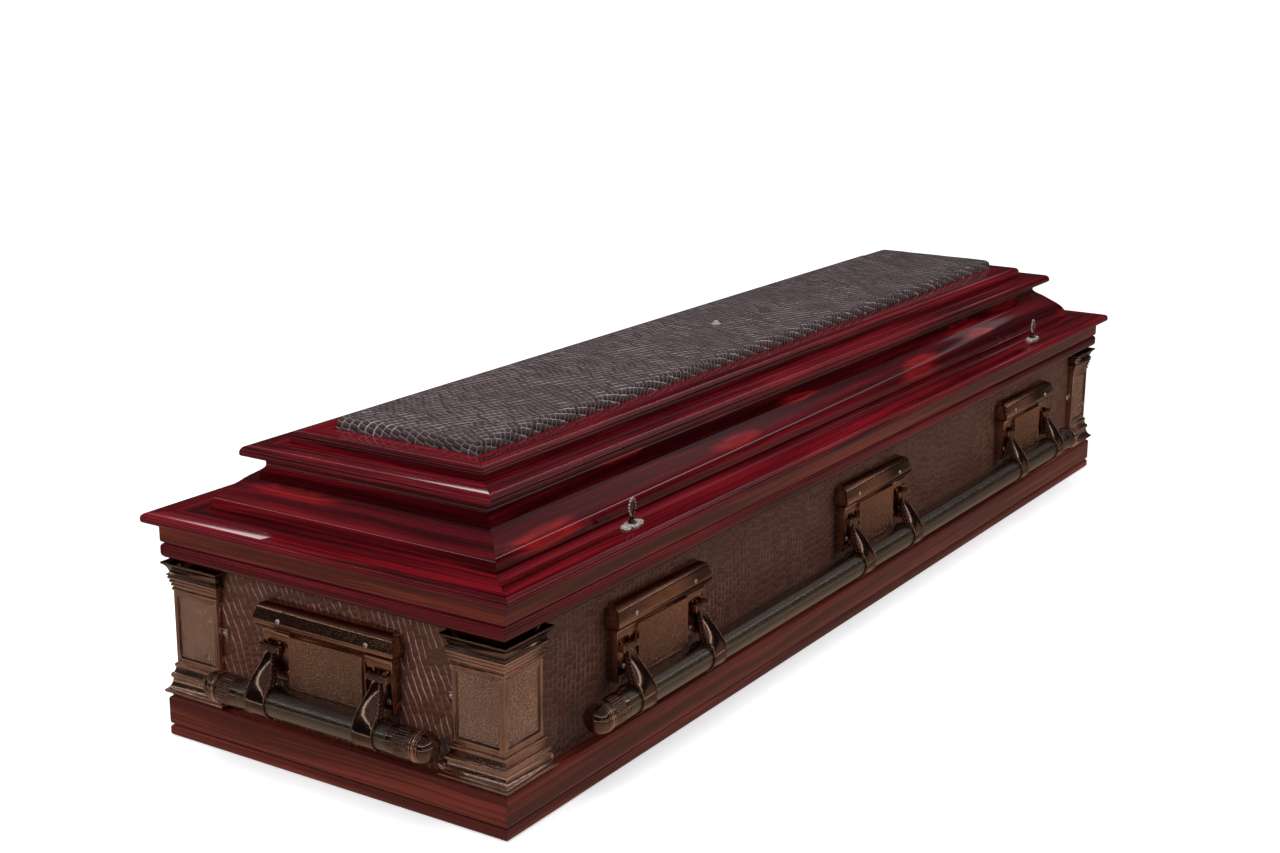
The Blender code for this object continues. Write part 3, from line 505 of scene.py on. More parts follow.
def base_wood():
    """The rim's and plinth's browner wood."""
    tint = colours()
    shadow = blend_rgb(tint["wood_dark"], tint["base_red"], 0.30)
    return wood_material("red-brown lacquered wood", shadow, tint["base_red"],
                         blend_rgb(tint["base_red"], tint["wood_glow"], 0.25), 0.1)


def copper():
    """Antique copper of the castings."""
    return metal_material("antique copper", colours()["copper"], 0.20)


def bracket_copper():
    """The brackets' slightly browner copper."""
    red, green, blue, _ = colours()["copper"]
    return metal_material("brown copper", (red * 0.74, green * 0.64, blue * 0.57, 1), 0.18)


def dark_copper():
    """Glossy dark copper of the arms and end caps."""
    return metal_material("dark glossy copper", scaled(colours()["copper"], 0.40), 0.12, 0.5)


def hammered():
    """Hammered copper of the pilaster panels."""
    size = bpy.context.scene.casket_sizes.hammer_size
    return metal_material("hammered copper", scaled(colours()["copper"], 1.2), 0.24, hammer=size)


def stippled():
    """Finely stippled copper of the bracket panels."""
    size = bpy.context.scene.casket_sizes.hammer_size
    red, green, blue, _ = colours()["copper"]
    return metal_material("stippled copper", (red * 0.92, green * 0.80, blue * 0.70, 1), 0.28,
                          hammer=size * 0.7)


def silver():
    """Bright silver of the screws and plates."""
    return metal_material("bright silver", colours()["silver"], 0.16, 0.55, metallic=0.6)


# Outline helpers

def arc(centre, radius, start, end, steps=ARC_STEPS):
    """Points on an arc from one angle to another, in degrees."""
    return [(centre[0] + radius * math.cos(math.radians(start + (end - start) * i / steps)),
             centre[1] + radius * math.sin(math.radians(start + (end - start) * i / steps)))
            for i in range(steps + 1)]


def rounded_edge(outer, low, high, low_round, high_round):
    """A board's edge from its underside to its top, with both arrises rounded."""
    return (arc((outer - low_round, low + low_round), low_round, -90, 0)
            + arc((outer - high_round, high - high_round), high_round, 0, 90))


def flow(start, start_pull, end, end_pull, steps):
    """Points on a smooth curve that leaves and arrives along two pulls."""
    points = []
    for i in range(steps + 1):
        t = i / steps
        weights = (2 * t**3 - 3 * t**2 + 1, t**3 - 2 * t**2 + t, 3 * t**2 - 2 * t**3, t**3 - t**2)
        points.append(tuple(weights[0] * start[k] + weights[1] * start_pull[k]
                            + weights[2] * end[k] + weights[3] * end_pull[k] for k in range(2)))
    return points


def shares(points, start, width, height):
    """Points given as shares of a width and a height, set off from a start point."""
    return [(start[0] + width * x, start[1] + height * z) for x, z in points]


# Mesh helpers

def finish_mesh(bm, name, sharp=35, turn_out=True):
    """Merge, turn outwards, shade smooth up to an angle and make the mesh."""
    bmesh.ops.remove_doubles(bm, verts=bm.verts, dist=0.000005)
    if turn_out:
        bmesh.ops.recalc_face_normals(bm, faces=bm.faces)
    limit = math.radians(sharp)
    for face in bm.faces:
        face.smooth = True
    for edge in bm.edges:
        if len(edge.link_faces) == 2 and edge.calc_face_angle() > limit:
            edge.smooth = False
    mesh = bpy.data.meshes.new(name)
    bm.to_mesh(mesh)
    bm.free()
    return mesh


def add_piece(name, mesh, materials, body, slot, *nodes):
    """Show a finished mesh as a piece that rides on a body and stands for CAD nodes."""
    for mat in materials:
        mesh.materials.append(mat)
    piece = bpy.data.objects.new(name, mesh)
    bpy.context.scene.collection.objects.link(piece)
    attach(piece, body)
    if nodes:
        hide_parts(*nodes)
    return piece


def placed(mesh, name, matrix):
    """A copy of a mesh moved to its place."""
    copy = mesh.copy()
    copy.name = name
    bm = bmesh.new()
    bm.from_mesh(copy)
    bmesh.ops.transform(bm, matrix=matrix, verts=bm.verts)
    if matrix.determinant() < 0:
        bmesh.ops.reverse_faces(bm, faces=bm.faces)
    bm.to_mesh(copy)
    bm.free()
    return copy


def loop_edges(bm, loop):
    """The edges that join the vertices of a loop."""
    return [edge for edge in bm.edges if edge.verts[0] in loop and edge.verts[1] in loop]


def loft(bm, rings):
    """A closed solid through rings of points, one after another."""
    loop, edges = open_line(bm, rings[0])
    edges.append(bm.edges.new((loop[-1], loop[0])))
    bmesh.ops.contextual_create(bm, geom=edges)
    for spots in rings[1:]:
        fresh, _ = extruded(bm, loop_edges(bm, loop))
        grown = []
        for vert in loop:
            twin = min(fresh, key=lambda v: (v.co - vert.co).length)
            fresh.remove(twin)
            grown.append(twin)
        for vert, spot in zip(grown, spots):
            vert.co = spot
        loop = grown
    bmesh.ops.contextual_create(bm, geom=loop_edges(bm, loop))


def extruded(bm, edges):
    """Extrude edges and return the new vertices and the new edges between them."""
    made = bmesh.ops.extrude_edge_only(bm, edges=edges)["geom"]
    verts = [item for item in made if isinstance(item, bmesh.types.BMVert)]
    fresh = set(verts)
    edges = [item for item in made if isinstance(item, bmesh.types.BMEdge)
             and item.verts[0] in fresh and item.verts[1] in fresh]
    return verts, edges


def open_line(bm, points):
    """Vertices joined in a row."""
    verts = [bm.verts.new(point) for point in points]
    return verts, [bm.edges.new(pair) for pair in zip(verts, verts[1:])]


def carry_round(name, outline, closed=True, seed=0.0):
    """Carry an outline of (offset, height) round the four mitred corners, with a grain map."""
    bm = bmesh.new()
    verts, edges = open_line(bm, [(-HALF_X - o, -HALF_Y - o, z) for o, z in outline])
    if closed:
        edges.append(bm.edges.new((verts[-1], verts[0])))
    for turn in range(4):
        verts, edges = extruded(bm, edges)
        mirror = (-1, 1, 1) if turn % 2 == 0 else (1, -1, 1)
        bmesh.ops.scale(bm, vec=mirror, verts=verts)
    bmesh.ops.remove_doubles(bm, verts=bm.verts, dist=0.00001)
    if not closed:
        caps = bmesh.ops.holes_fill(bm, edges=bm.edges, sides=4)["faces"]
        bmesh.ops.inset_region(bm, faces=caps, thickness=0.09, use_even_offset=True)
    bmesh.ops.recalc_face_normals(bm, faces=bm.faces)
    lay_grain(bm, outline, seed)
    mesh = finish_mesh(bm, name, 33)
    return mesh


def lay_grain(bm, outline, seed):
    """Write each board's own length and girth, in metres, as its grain map."""
    girth = [0.0]
    for first, second in zip(outline, outline[1:]):
        girth.append(girth[-1] + math.dist(first, second))
    total = girth[-1] + math.dist(outline[-1], outline[0])
    grain = bm.loops.layers.uv.new("grain")

    def step_of(vert):
        spot = (abs(vert.co.x) - HALF_X, vert.co.z)
        return min(range(len(outline)), key=lambda i: math.dist(spot, outline[i]))

    steps = {vert: step_of(vert) for vert in bm.verts}
    last = len(outline) - 1
    for face in bm.faces:
        middle = face.calc_center_median()
        along_x = abs(middle.y) - HALF_Y > abs(middle.x) - HALF_X
        side = (1 if middle.y > 0 else 0) if along_x else (3 if middle.x > 0 else 2)
        found = {steps[vert] for vert in face.verts}
        for loop in face.loops:
            co, step = loop.vert.co, steps[loop.vert]
            if len(found) == 1:
                flat = (co.x, co.y) if along_x else (co.y, co.x)
                loop[grain].uv = (flat[0] + side * 3.1 + seed, flat[1] + seed * 3)
                continue
            across = total if found == {0, last} and step == 0 else girth[step]
            along = co.x if along_x else co.y
            loop[grain].uv = (along + side * 3.1 + seed, across + side * 1.37 + seed * 3)
    for edge in bm.edges:
        if steps[edge.verts[0]] != steps[edge.verts[1]]:
            edge.smooth = False


def spin_outline(name, outline, sides, shape=None, sharp=35):
    """Turn (place, radius) points about X into a closed solid, and shape its vertices if asked."""
    bm = bmesh.new()
    verts, edges = open_line(bm, [(place, 0.0, radius) for place, radius in outline])
    bmesh.ops.spin(bm, geom=verts + edges, cent=(0, 0, 0), axis=(1, 0, 0), dvec=(0, 0, 0),
                   angle=TAU, steps=sides, use_merge=True, use_duplicate=False)
    bmesh.ops.remove_doubles(bm, verts=bm.verts, dist=0.00001)
    open_edges = [edge for edge in bm.edges if edge.is_boundary]
    if open_edges:
        bmesh.ops.holes_fill(bm, edges=open_edges, sides=0)
    if shape:
        for vert in bm.verts:
            shape(vert)
    return finish_mesh(bm, name, sharp)


def add_ball(bm, centre, size, segments=12, rings=8):
    """A squashed ball in a mesh."""
    matrix = Matrix.Translation(centre) @ Matrix.Diagonal((size[0], size[1], size[2], 1))
    return bmesh.ops.create_uvsphere(bm, u_segments=segments, v_segments=rings, radius=1.0,
                                     matrix=matrix)["verts"]


def add_block(bm, low, high, soften=0.0, segments=2):
    """A block between two corners with softened edges."""
    middle = [(a + b) / 2 for a, b in zip(low, high)]
    size = [b - a for a, b in zip(low, high)]
    matrix = Matrix.Translation(middle) @ Matrix.Diagonal((*size, 1))
    verts = bmesh.ops.create_cube(bm, size=1.0, matrix=matrix)["verts"]
    if soften:
        edges = list({edge for vert in verts for edge in vert.link_edges})
        bmesh.ops.bevel(bm, geom=edges, offset=soften, offset_type="OFFSET", segments=segments,
                        profile=0.5, affect="EDGES", clamp_overlap=True, material=-1)


def add_ring(bm, centre, radius, thick, turn=None, sides=20, around=8, sweep=TAU):
    """A round wire bent into a ring or an open hook, lying flat unless turned."""
    made = bmesh.ops.create_circle(bm, cap_ends=False, segments=around, radius=thick)["verts"]
    edges = list({edge for vert in made for edge in vert.link_edges})
    stand = Matrix.Translation((radius, 0, 0)) @ Matrix.Rotation(math.pi / 2, 4, "X")
    bmesh.ops.transform(bm, matrix=stand, verts=made)
    full = abs(sweep - TAU) < 1e-6
    before = set(bm.verts) - set(made)
    bmesh.ops.spin(bm, geom=made + edges, cent=(0, 0, 0), axis=(0, 0, 1), dvec=(0, 0, 0),
                   angle=sweep, steps=sides, use_merge=full, use_duplicate=False)
    verts = [vert for vert in bm.verts if vert not in before]
    if not full:
        ends = [edge for vert in verts for edge in vert.link_edges if edge.is_boundary]
        bmesh.ops.holes_fill(bm, edges=list(set(ends)), sides=0)
    matrix = Matrix.Translation(centre) @ (turn or Matrix.Identity(4))
    bmesh.ops.transform(bm, matrix=matrix, verts=verts)


def soften_edges(bm, angle, width, segments=2):
    """Bevel every edge that is sharper than an angle."""
    sharp = [edge for edge in bm.edges
             if len(edge.link_faces) == 2 and edge.calc_face_angle() > math.radians(angle)]
    bmesh.ops.bevel(bm, geom=sharp, offset=width, offset_type="OFFSET", segments=segments,
                    profile=0.5, affect="EDGES", clamp_overlap=True, material=-1)


class CASKET_OT_stage(bpy.types.Operator):
    """Pale floor, soft studio light and the camera"""
    bl_idname = "casket.stage"
    bl_label = "Stage"

    def execute(self, context):
        bm = bmesh.new()
        bmesh.ops.create_grid(bm, x_segments=1, y_segments=1, size=80.0)
        bmesh.ops.translate(bm, vec=(0, 0, -0.0008), verts=bm.verts)
        floor = bpy.data.objects.new("floor", finish_mesh(bm, "floor", turn_out=False))
        mat, tree, shader = new_material("pale floor", roughness=0.9)
        shader.inputs["Base Color"].default_value = (0.80, 0.80, 0.80, 1)
        shader.inputs["Emission Color"].default_value = (1, 1, 1, 1)
        place = add_node(tree, "ShaderNodeTexCoord").outputs["Object"]
        away = add_node(tree, "ShaderNodeVectorMath", {0: place},
                        operation="LENGTH").outputs["Value"]
        tree.links.new(smooth_step(tree, away, 1.5, 6.0, 0.46, 1.0),
                       shader.inputs["Emission Strength"])
        floor.data.materials.append(mat)
        floor.visible_glossy = False
        floor.visible_diffuse = False
        context.scene.collection.objects.link(floor)
        self.light_world(context)
        for softbox in SOFTBOXES:
            self.add_softbox(*softbox)
        self.add_camera(context)
        return {"FINISHED"}

    def light_world(self, context):
        """White to the camera and a dim grey room to everything else."""
        world = bpy.data.worlds.new("studio")
        world.use_nodes = True
        context.scene.world = world
        tree = world.node_tree
        shader = tree.nodes["Background"]
        direction = add_node(tree, "ShaderNodeTexCoord").outputs["Generated"]
        parts = add_node(tree, "ShaderNodeSeparateXYZ", {0: direction}).outputs
        height = maths(tree, "MULTIPLY_ADD", parts[2], 0.5, 0.5)
        room = ramp(tree, height, ROOM_BANDS)
        room = blend(tree, smooth_step(tree, parts[0], -0.75, 0.1, 0.2, 0.0), room,
                     (0.02, 0.015, 0.014, 1))
        near = smooth_step(tree, parts[0], 0.78, 0.90, 1.0, 0.12)
        strips = maths(tree, "ADD", self.strip(tree, height, 0.447, 0.012, 1.3),
                       self.strip(tree, height, 0.706, 0.008, 3.0))
        room = blend(tree, 1.0, room, maths(tree, "MULTIPLY", strips, near), "ADD")
        sheen = maths(tree, "MULTIPLY", self.strip(tree, height, 0.785, 0.050, 0.14),
                      smooth_step(tree, parts[0], 0.55, 0.75))
        room = blend(tree, sheen, room, (1.0, 0.80, 0.79, 1))
        side = maths(tree, "MULTIPLY", self.strip(tree, height, 0.520, 0.085, 0.85),
                     smooth_step(tree, parts[1], -0.35, -0.50))
        room = blend(tree, side, room, (0.24, 0.165, 0.125, 1))
        rays = add_node(tree, "ShaderNodeLightPath").outputs
        fill = ramp(tree, height, FILL_BANDS)
        soft = blend(tree, rays["Is Glossy Ray"], fill, room)
        tree.links.new(blend(tree, rays["Is Camera Ray"], soft, (1, 1, 1, 1)),
                       shader.inputs["Color"])

    def strip(self, tree, height, level, half, strength):
        """A narrow bright strip round the room at one height."""
        apart = maths(tree, "ABSOLUTE", maths(tree, "SUBTRACT", height, level))
        return smooth_step(tree, apart, half * 0.4, half, strength, 0.0)

    def add_softbox(self, name, place, aim, width, height, power):
        """A rectangular area light that faces a point."""
        light = bpy.data.lights.new(name, "AREA")
        light.shape = "RECTANGLE"
        light.size, light.size_y, light.energy = width, height, power
        lamp = bpy.data.objects.new(name, light)
        lamp.location = place
        lamp.rotation_euler = (Vector(aim) - Vector(place)).to_track_quat("-Z", "Y").to_euler()
        lamp.visible_glossy = False
        bpy.context.scene.collection.objects.link(lamp)

    def add_camera(self, context):
        """The camera that the proportions were solved for."""
        data = bpy.data.cameras.new("camera")
        data.sensor_width, data.lens = 36.0, CAMERA_LENS
        data.clip_start, data.clip_end = 0.05, 100
        azimuth, elevation, roll = (math.radians(a) for a in CAMERA_TURN)
        back = Vector((math.sin(azimuth) * math.cos(elevation),
                       -math.cos(azimuth) * math.cos(elevation), math.sin(elevation)))
        right = (-back).cross(Vector((0, 0, 1))).normalized()
        up = right.cross(-back)
        right, up = (right * math.cos(roll) + up * math.sin(roll),
                     up * math.cos(roll) - right * math.sin(roll))
        matrix = Matrix((right, up, back)).transposed().to_4x4()
        camera = bpy.data.objects.new("camera", data)
        camera.matrix_world = Matrix.Translation(CAMERA_PLACE) @ matrix
        context.scene.collection.objects.link(camera)
        context.scene.camera = camera


class CASKET_OT_case(bpy.types.Operator):
    """Bottom board, plinth and bead rim of the case"""
    bl_idname = "casket.case"
    bl_label = "Case Mouldings"

    def execute(self, context):
        r = context.scene.casket_sizes.plinth_round
        inner = WALL_Y - HALF_Y + GAP
        edge = rounded_edge(0.0, 0.0, BOARD_TOP, r * 0.8, r)
        add_piece("bottom_board_wood", carry_round("bottom_board_wood", edge, False, 0.4),
                  [base_wood()], "casket", "brown_wood", "bottom_board")
        edge = rounded_edge(0.0, PLINTH_LOW, PLINTH_TOP, r, r)
        edge += [(inner, PLINTH_TOP), (inner, PLINTH_LOW)]
        add_piece("plinth_wood", carry_round("plinth_wood", edge, True, 0.9), [base_wood()],
                  "casket", "brown_wood", "plinth_frame")
        wall_inside = inner - 0.0183
        edge = rounded_edge(0.0, RIM_LOW, RIM_TOP, (RIM_TOP - RIM_LOW) * 0.36,
                            (RIM_TOP - RIM_LOW) * 0.30)
        edge += [(wall_inside, RIM_TOP), (wall_inside, RIM_LOW)]
        add_piece("rim_wood", carry_round("rim_wood", edge, True, 1.7), [lid_wood()],
                  "casket", "red_wood", "rim_frame")
        return {"FINISHED"}


class CASKET_OT_panels(bpy.types.Operator):
    """Embossed leather on the four walls"""
    bl_idname = "casket.panels"
    bl_label = "Leather Panels"

    def execute(self, context):
        sizes = context.scene.casket_sizes
        tint = colours()["leather"]
        wide, high = sizes.scale_width, sizes.scale_height
        # The last tuple of each sets the strengths of the painted glints along the rows and joints.
        long_side = leather_material("embossed leather side", tint, (high, wide, 1), 0.05,
                                     math.pi / 2,
                                     0.0010, (0.44, 0.05, 0.20))
        short_side = leather_material("embossed leather end", tint, (wide * 0.85, high * 0.90, 1),
                                      0.07,
                                      -1.22, 0.0010, (1.0, 0.45, 0.05))
        for node, mat in (("side_wall_front", long_side), ("side_wall_back", long_side),
                          ("end_wall_left", short_side), ("end_wall_right", short_side)):
            mesh = frame["nodes"][node].data
            mesh.materials.clear()
            mesh.materials.append(mat)
        return {"FINISHED"}


class CASKET_OT_lid(bpy.types.Operator):
    """Ledge, dome, top board and step board of the lid"""
    bl_idname = "casket.lid"
    bl_label = "Lid Mouldings"

    def execute(self, context):
        wood = lid_wood()
        ledge = carry_round("lid_ledge_wood", self.ledge(), True, 2.3)
        for face in ledge.polygons:
            face.material_index = int(face.center.z < LEDGE_TOP - 0.0205)
        add_piece("lid_ledge_wood", ledge, [wood, base_wood()], "casket", "red_wood",
                  "lid_ledge_frame")
        add_piece("lid_dome_wood", carry_round("lid_dome_wood", self.dome(), True, 3.9),
                  [dome_wood()],
                  "casket", "red_wood", "lid_dome_frame")
        add_piece("lid_top_wood", carry_round("lid_top_wood", self.top_board(), False, 4.6), [wood],
                  "casket", "red_wood", "lid_top_board")
        height = STEP_TOP - STEP_LOW
        edge = rounded_edge(STEP_EDGE, STEP_LOW, STEP_TOP, height * 0.06, height * 0.50)
        add_piece("lid_step_wood", carry_round("lid_step_wood", edge, False, 5.8), [wood],
                  "casket", "red_wood", "lid_step_board")
        return {"FINISHED"}

    def ledge(self):
        """Fascia, cove and ledge with its broad nose."""
        thick, cove = 0.0145, 0.0090
        under = LEDGE_TOP - thick
        points = arc((-0.0040, LEDGE_LOW + 0.0040), 0.0040, -90, 0)
        points += arc((cove, under - cove), cove, 180, 90)
        points += rounded_edge(LEDGE_REACH, under, LEDGE_TOP, thick * 0.3, thick * 0.52)
        inner, wall = DOME_EDGE - 0.0225, -0.0380
        return points + [(inner, LEDGE_TOP), (inner, under), (wall, under), (wall, LEDGE_LOW)]

    def dome(self):
        """A short foot, a swelling and a hollow that rises to the neck."""
        rise, run = DOME_TOP - DOME_LOW, 0.0550
        foot = (DOME_EDGE, DOME_LOW + 0.0045)
        turn = (DOME_EDGE - run * 0.60, DOME_LOW + rise * 0.66)
        neck = (DOME_EDGE - run, DOME_LOW + rise * 0.94)
        swell = flow((foot[0] - 0.0012, foot[1] + 0.0006), (-0.006, rise * 0.85),
                     turn, (-run * 0.60, rise * 0.46), 16)
        hollow = flow(turn, (-run * 0.42, rise * 0.32), neck, (-0.001, rise * 0.24), 10)
        top = (DOME_EDGE - run, DOME_TOP)
        thick = 0.018
        inner = [(top[0] - thick, DOME_TOP), (top[0] - thick, turn[1] + 0.004),
                 (turn[0] - thick * 0.75, turn[1] - thick * 0.55),
                 (DOME_EDGE - thick, DOME_LOW + rise * 0.22), (DOME_EDGE - thick, DOME_LOW)]
        return [(DOME_EDGE, DOME_LOW), foot] + swell + hollow[1:] + [top] + inner

    def top_board(self):
        """A neck, a cove beneath and a broad rounded nose."""
        cove, fillet, thick = 0.0085, 0.0017, 0.0148
        neck = DOME_EDGE - 0.0550
        nose_low = CAP_LOW + fillet + cove
        return ([(neck, CAP_LOW)] + arc((neck + cove, CAP_LOW + fillet), cove, 180, 90)
                + rounded_edge(CAP_EDGE, nose_low, CAP_TOP, thick * 0.24, thick * 0.66))


class CASKET_OT_pad(bpy.types.Operator):
    """Padded panel of embossed leather on the lid"""
    bl_idname = "casket.pad"
    bl_label = "Lid Pad"

    def execute(self, context):
        sizes = context.scene.casket_sizes
        bm = bmesh.new()
        bmesh.ops.create_grid(bm, x_segments=150, y_segments=34, size=1.0)
        height, turn_in = PAD_TOP - PAD_LOW, sizes.pad_round
        for vert in bm.verts:
            x, y = (self.crowd(vert.co.x, PAD_X), self.crowd(vert.co.y, PAD_Y))
            inset = min(PAD_X - abs(x), PAD_Y - abs(y))
            rise = self.edge_height(inset, height, turn_in)
            crown = sizes.pad_crown * min(1.0, inset / 0.09) ** 0.6
            ripple = 0.00035 * math.sin(x * 61) * math.sin(y * 83 + x * 9) * min(1.0, inset / 0.02)
            vert.co = (x, y, PAD_LOW + min(rise + crown + ripple, height))
        rim = [edge for edge in bm.edges if edge.is_boundary]
        verts, edges = extruded(bm, rim)
        for vert in verts:
            vert.co.z = PAD_LOW
        bmesh.ops.holes_fill(bm, edges=edges, sides=0)
        mesh = finish_mesh(bm, "lid_pad_leather", 60)
        red, green, blue, _ = colours()["leather"]
        # The last two tuples set the painted glints' strengths and their silvery tint.
        mat = leather_material("embossed leather pad", (red * 0.56, green * 0.95, blue * 1.60, 1),
                               (sizes.scale_width * 0.95, sizes.scale_height * 1.15, 1), 0.04, 0.35,
                               0.0026,
                               (1.0, 0.45, 0.55), (0.50, 0.47, 0.49, 1))
        pad = add_piece("lid_pad_leather", mesh, [mat], "casket", "embossed_leather", "lid_pad")
        return {"FINISHED"}

    def crowd(self, share, half):
        """Place a grid line, closer together towards the edge."""
        return half * math.copysign(1 - (1 - abs(share)) ** 1.45, share)

    def edge_height(self, inset, height, turn_in):
        """Height of the pad's rounded edge at a distance from its outline."""
        low = height - turn_in - 0.0022
        if inset >= turn_in:
            return height - 0.0022
        return low + math.sqrt(max(0.0, turn_in ** 2 - (turn_in - inset) ** 2))


class CASKET_OT_stud(bpy.types.Operator):
    """Silver rosette in the middle of the pad"""
    bl_idname = "casket.stud"
    bl_label = "Pad Stud"

    def execute(self, context):
        outline = [(0.0, 0.0078), (0.0010, 0.0080), (0.0019, 0.0070), (0.0023, 0.0052),
                   (0.0044, 0.0046), (0.0062, 0.0030), (0.0069, 0.0)]

        def petals(vert):
            angle = math.atan2(vert.co.z, vert.co.y)
            radius = math.hypot(vert.co.y, vert.co.z)
            if radius > 0.0035:
                share = 1 + 0.09 * math.cos(8 * angle)
                vert.co.y *= share
                vert.co.z *= share

        stud = spin_outline("pad_stud", outline, 64, petals)
        place = Matrix.Translation((-0.025, 0.007,
                                    PAD_TOP - 0.0004)) @ Matrix.Rotation(-math.pi / 2, 4, "Y")
        add_piece("pad_stud", placed(stud, "pad_stud", place), [silver()], "casket", "silver")
        return {"FINISHED"}


class CASKET_OT_pilasters(bpy.types.Operator):
    """Four cast corner pilasters with hammered panels and screw tabs"""
    bl_idname = "casket.pilasters"
    bl_label = "Pilasters"

    def execute(self, context):
        mesh = self.corner(context.scene.casket_sizes)
        for name, sx, sy in (("back_right", 1, 1), ("front_left", -1, -1),
                             ("back_left", -1, 1), ("front_right", 1, -1)):
            node = "pilaster_" + name
            made = placed(mesh, node + "_casting", Matrix.Diagonal((sx, sy, 1, 1)))
            add_piece(node + "_casting", made, [copper(), hammered(), dark_copper()], "casket",
                      "antique_copper", node)
        return {"FINISHED"}

    def outline(self):
        """Foot, shaft and flared cap, from the plinth upwards."""
        low, shaft = PLINTH_TOP + GAP, -SHAFT_INSET
        height, cap_height = 0.0500, 0.0420
        foot = [(0.44, 0.0), (0.51, 0.11), (0.86, 0.118), (0.96, 0.128), (1.0, 0.150),
                (0.985, 0.185),
                (0.90, 0.215), (0.76, 0.224)]
        foot += flow((0.72, 0.250), (-0.42, 0.06), (0.36, 0.52), (0.0, 0.32), 6)
        foot += [(0.46, 0.545), (0.52, 0.585), (0.50, 0.64), (0.44, 0.68), (0.28, 0.70),
                 (0.20, 0.76),
                 (0.13, 0.84), (0.19, 0.86), (0.23, 0.90), (0.21, 0.95), (0.0, 0.975), (0.0, 1.0)]
        cap = [(0.0, -0.024), (0.12, 0.0), (0.17, 0.04), (0.13, 0.085), (0.02, 0.10), (0.02, 0.125)]
        for number in range(3):
            out, up = 0.06 + 0.13 * number, 0.135 + 0.125 * number
            cap += [(out, up), (out + 0.16, up + 0.020), (out + 0.18, up + 0.075),
                    (out + 0.05, up + 0.110)]
        cap += [(0.52, 0.525), (0.57, 0.545), (0.56, 0.575), (0.40, 0.59)]
        cap += flow((0.30, 0.63), (-0.05, 0.22), (0.97, 0.925), (0.95, 0.06), 7)
        cap += [(1.0, 0.945), (1.02, 0.972), (1.0, 1.0)]
        cap_low = RIM_LOW - 0.0052 - cap_height
        return (shares(foot, (shaft, low), 0.0142, height)
                + shares(cap, (shaft, cap_low), 0.0113, cap_height))

    def corners(self, offset, back):
        """The L-shaped outline at one height, for the corner at +X +Y."""
        x, y = HALF_X + offset, HALF_Y + offset
        reach = LEG_REACH + 2 * SHAFT_INSET + offset
        end_x, end_y = HALF_X - reach, HALF_Y - reach
        bx, by = HALF_X + back, HALF_Y + back
        return ((x, y), (end_x, y), (end_x, by), (bx, by), (bx, end_y), (x, end_y))

    def corner(self, sizes):
        """One pilaster with its panels, hollow cap and tabs."""
        back = WALL_Y - HALF_Y + GAP
        bm = bmesh.new()
        outline = self.outline()
        sections = [(o, back, z) for o, z in outline]
        rim, top = outline[-1]
        sections += [(rim - 0.0018, back + 0.0015, top),
                     (rim - 0.0106, back + 0.0015, top - 0.0085)]
        loft(bm, [[(x, y, z) for x, y in self.corners(out, inside)] for out, inside, z in sections])
        bmesh.ops.recalc_face_normals(bm, faces=bm.faces)
        self.sink_panels(bm, sizes.pilaster_border)
        # Painted shade: the top of the cap and its hollow take the dark copper, standing for the
        # shadow under the lid.
        hollow = sections[-1][2] - 0.0150
        for face in bm.faces:
            if face.calc_center_median().z > hollow:
                face.material_index = 2
        soften_edges(bm, 55, 0.0004)
        self.add_tabs(bm, back)
        return finish_mesh(bm, "pilaster", 30, turn_out=False)

    def sink_panels(self, bm, border):
        """A bead and a sunk hammered panel on both outer faces."""
        shaft_x, shaft_y = HALF_X - SHAFT_INSET, HALF_Y - SHAFT_INSET
        for face in list(bm.faces):
            middle = face.calc_center_median()
            tall = max(v.co.z for v in face.verts) - min(v.co.z for v in face.verts) > 0.08
            if not tall or (abs(middle.x - shaft_x) > 1e-4 and abs(middle.y - shaft_y) > 1e-4):
                continue
            for wide, deep in ((border * 0.35, 0), (0.0006, -0.0014), (0.0006, 0), (0.0006, 0.0014),
                               (border * 0.25, 0), (0.0007, 0.0010), (0.0007, 0),
                               (0.0014, -0.0034)):
                walls = bmesh.ops.inset_region(bm, faces=[face], thickness=wide, depth=deep,
                                               use_even_offset=True)["faces"]
            for wall in walls:
                wall.material_index = 2
            face.material_index = 1

    def add_tabs(self, bm, back):
        """A screw tab and a small scroll beside each leg, lying on the wall."""
        edge_x = HALF_X - LEG_REACH - SHAFT_INSET
        edge_y = HALF_Y - LEG_REACH - SHAFT_INSET
        face_x, face_y = HALF_X + back, HALF_Y + back
        low = PLINTH_TOP + GAP
        for x, y, wide, deep in ((edge_x - 0.0215, face_y + 0.0042, 0.0085, 0.0044),
                                 (face_x + 0.0042, edge_y - 0.0215, 0.0044, 0.0085)):
            add_ball(bm, (x, y, low + 0.0088), (wide, deep, 0.0086), 20, 12)
        tab_low, tab_high = TAB_HEIGHT - 0.0075, TAB_HEIGHT + 0.0075
        add_block(bm, (edge_x - 0.0115, face_y, tab_low),
                  (edge_x + 0.002, face_y + 0.0018, tab_high),
                  0.0008)
        add_block(bm, (face_x, edge_y - 0.0115, tab_low),
                  (face_x + 0.0018, edge_y + 0.002, tab_high),
                  0.0008)


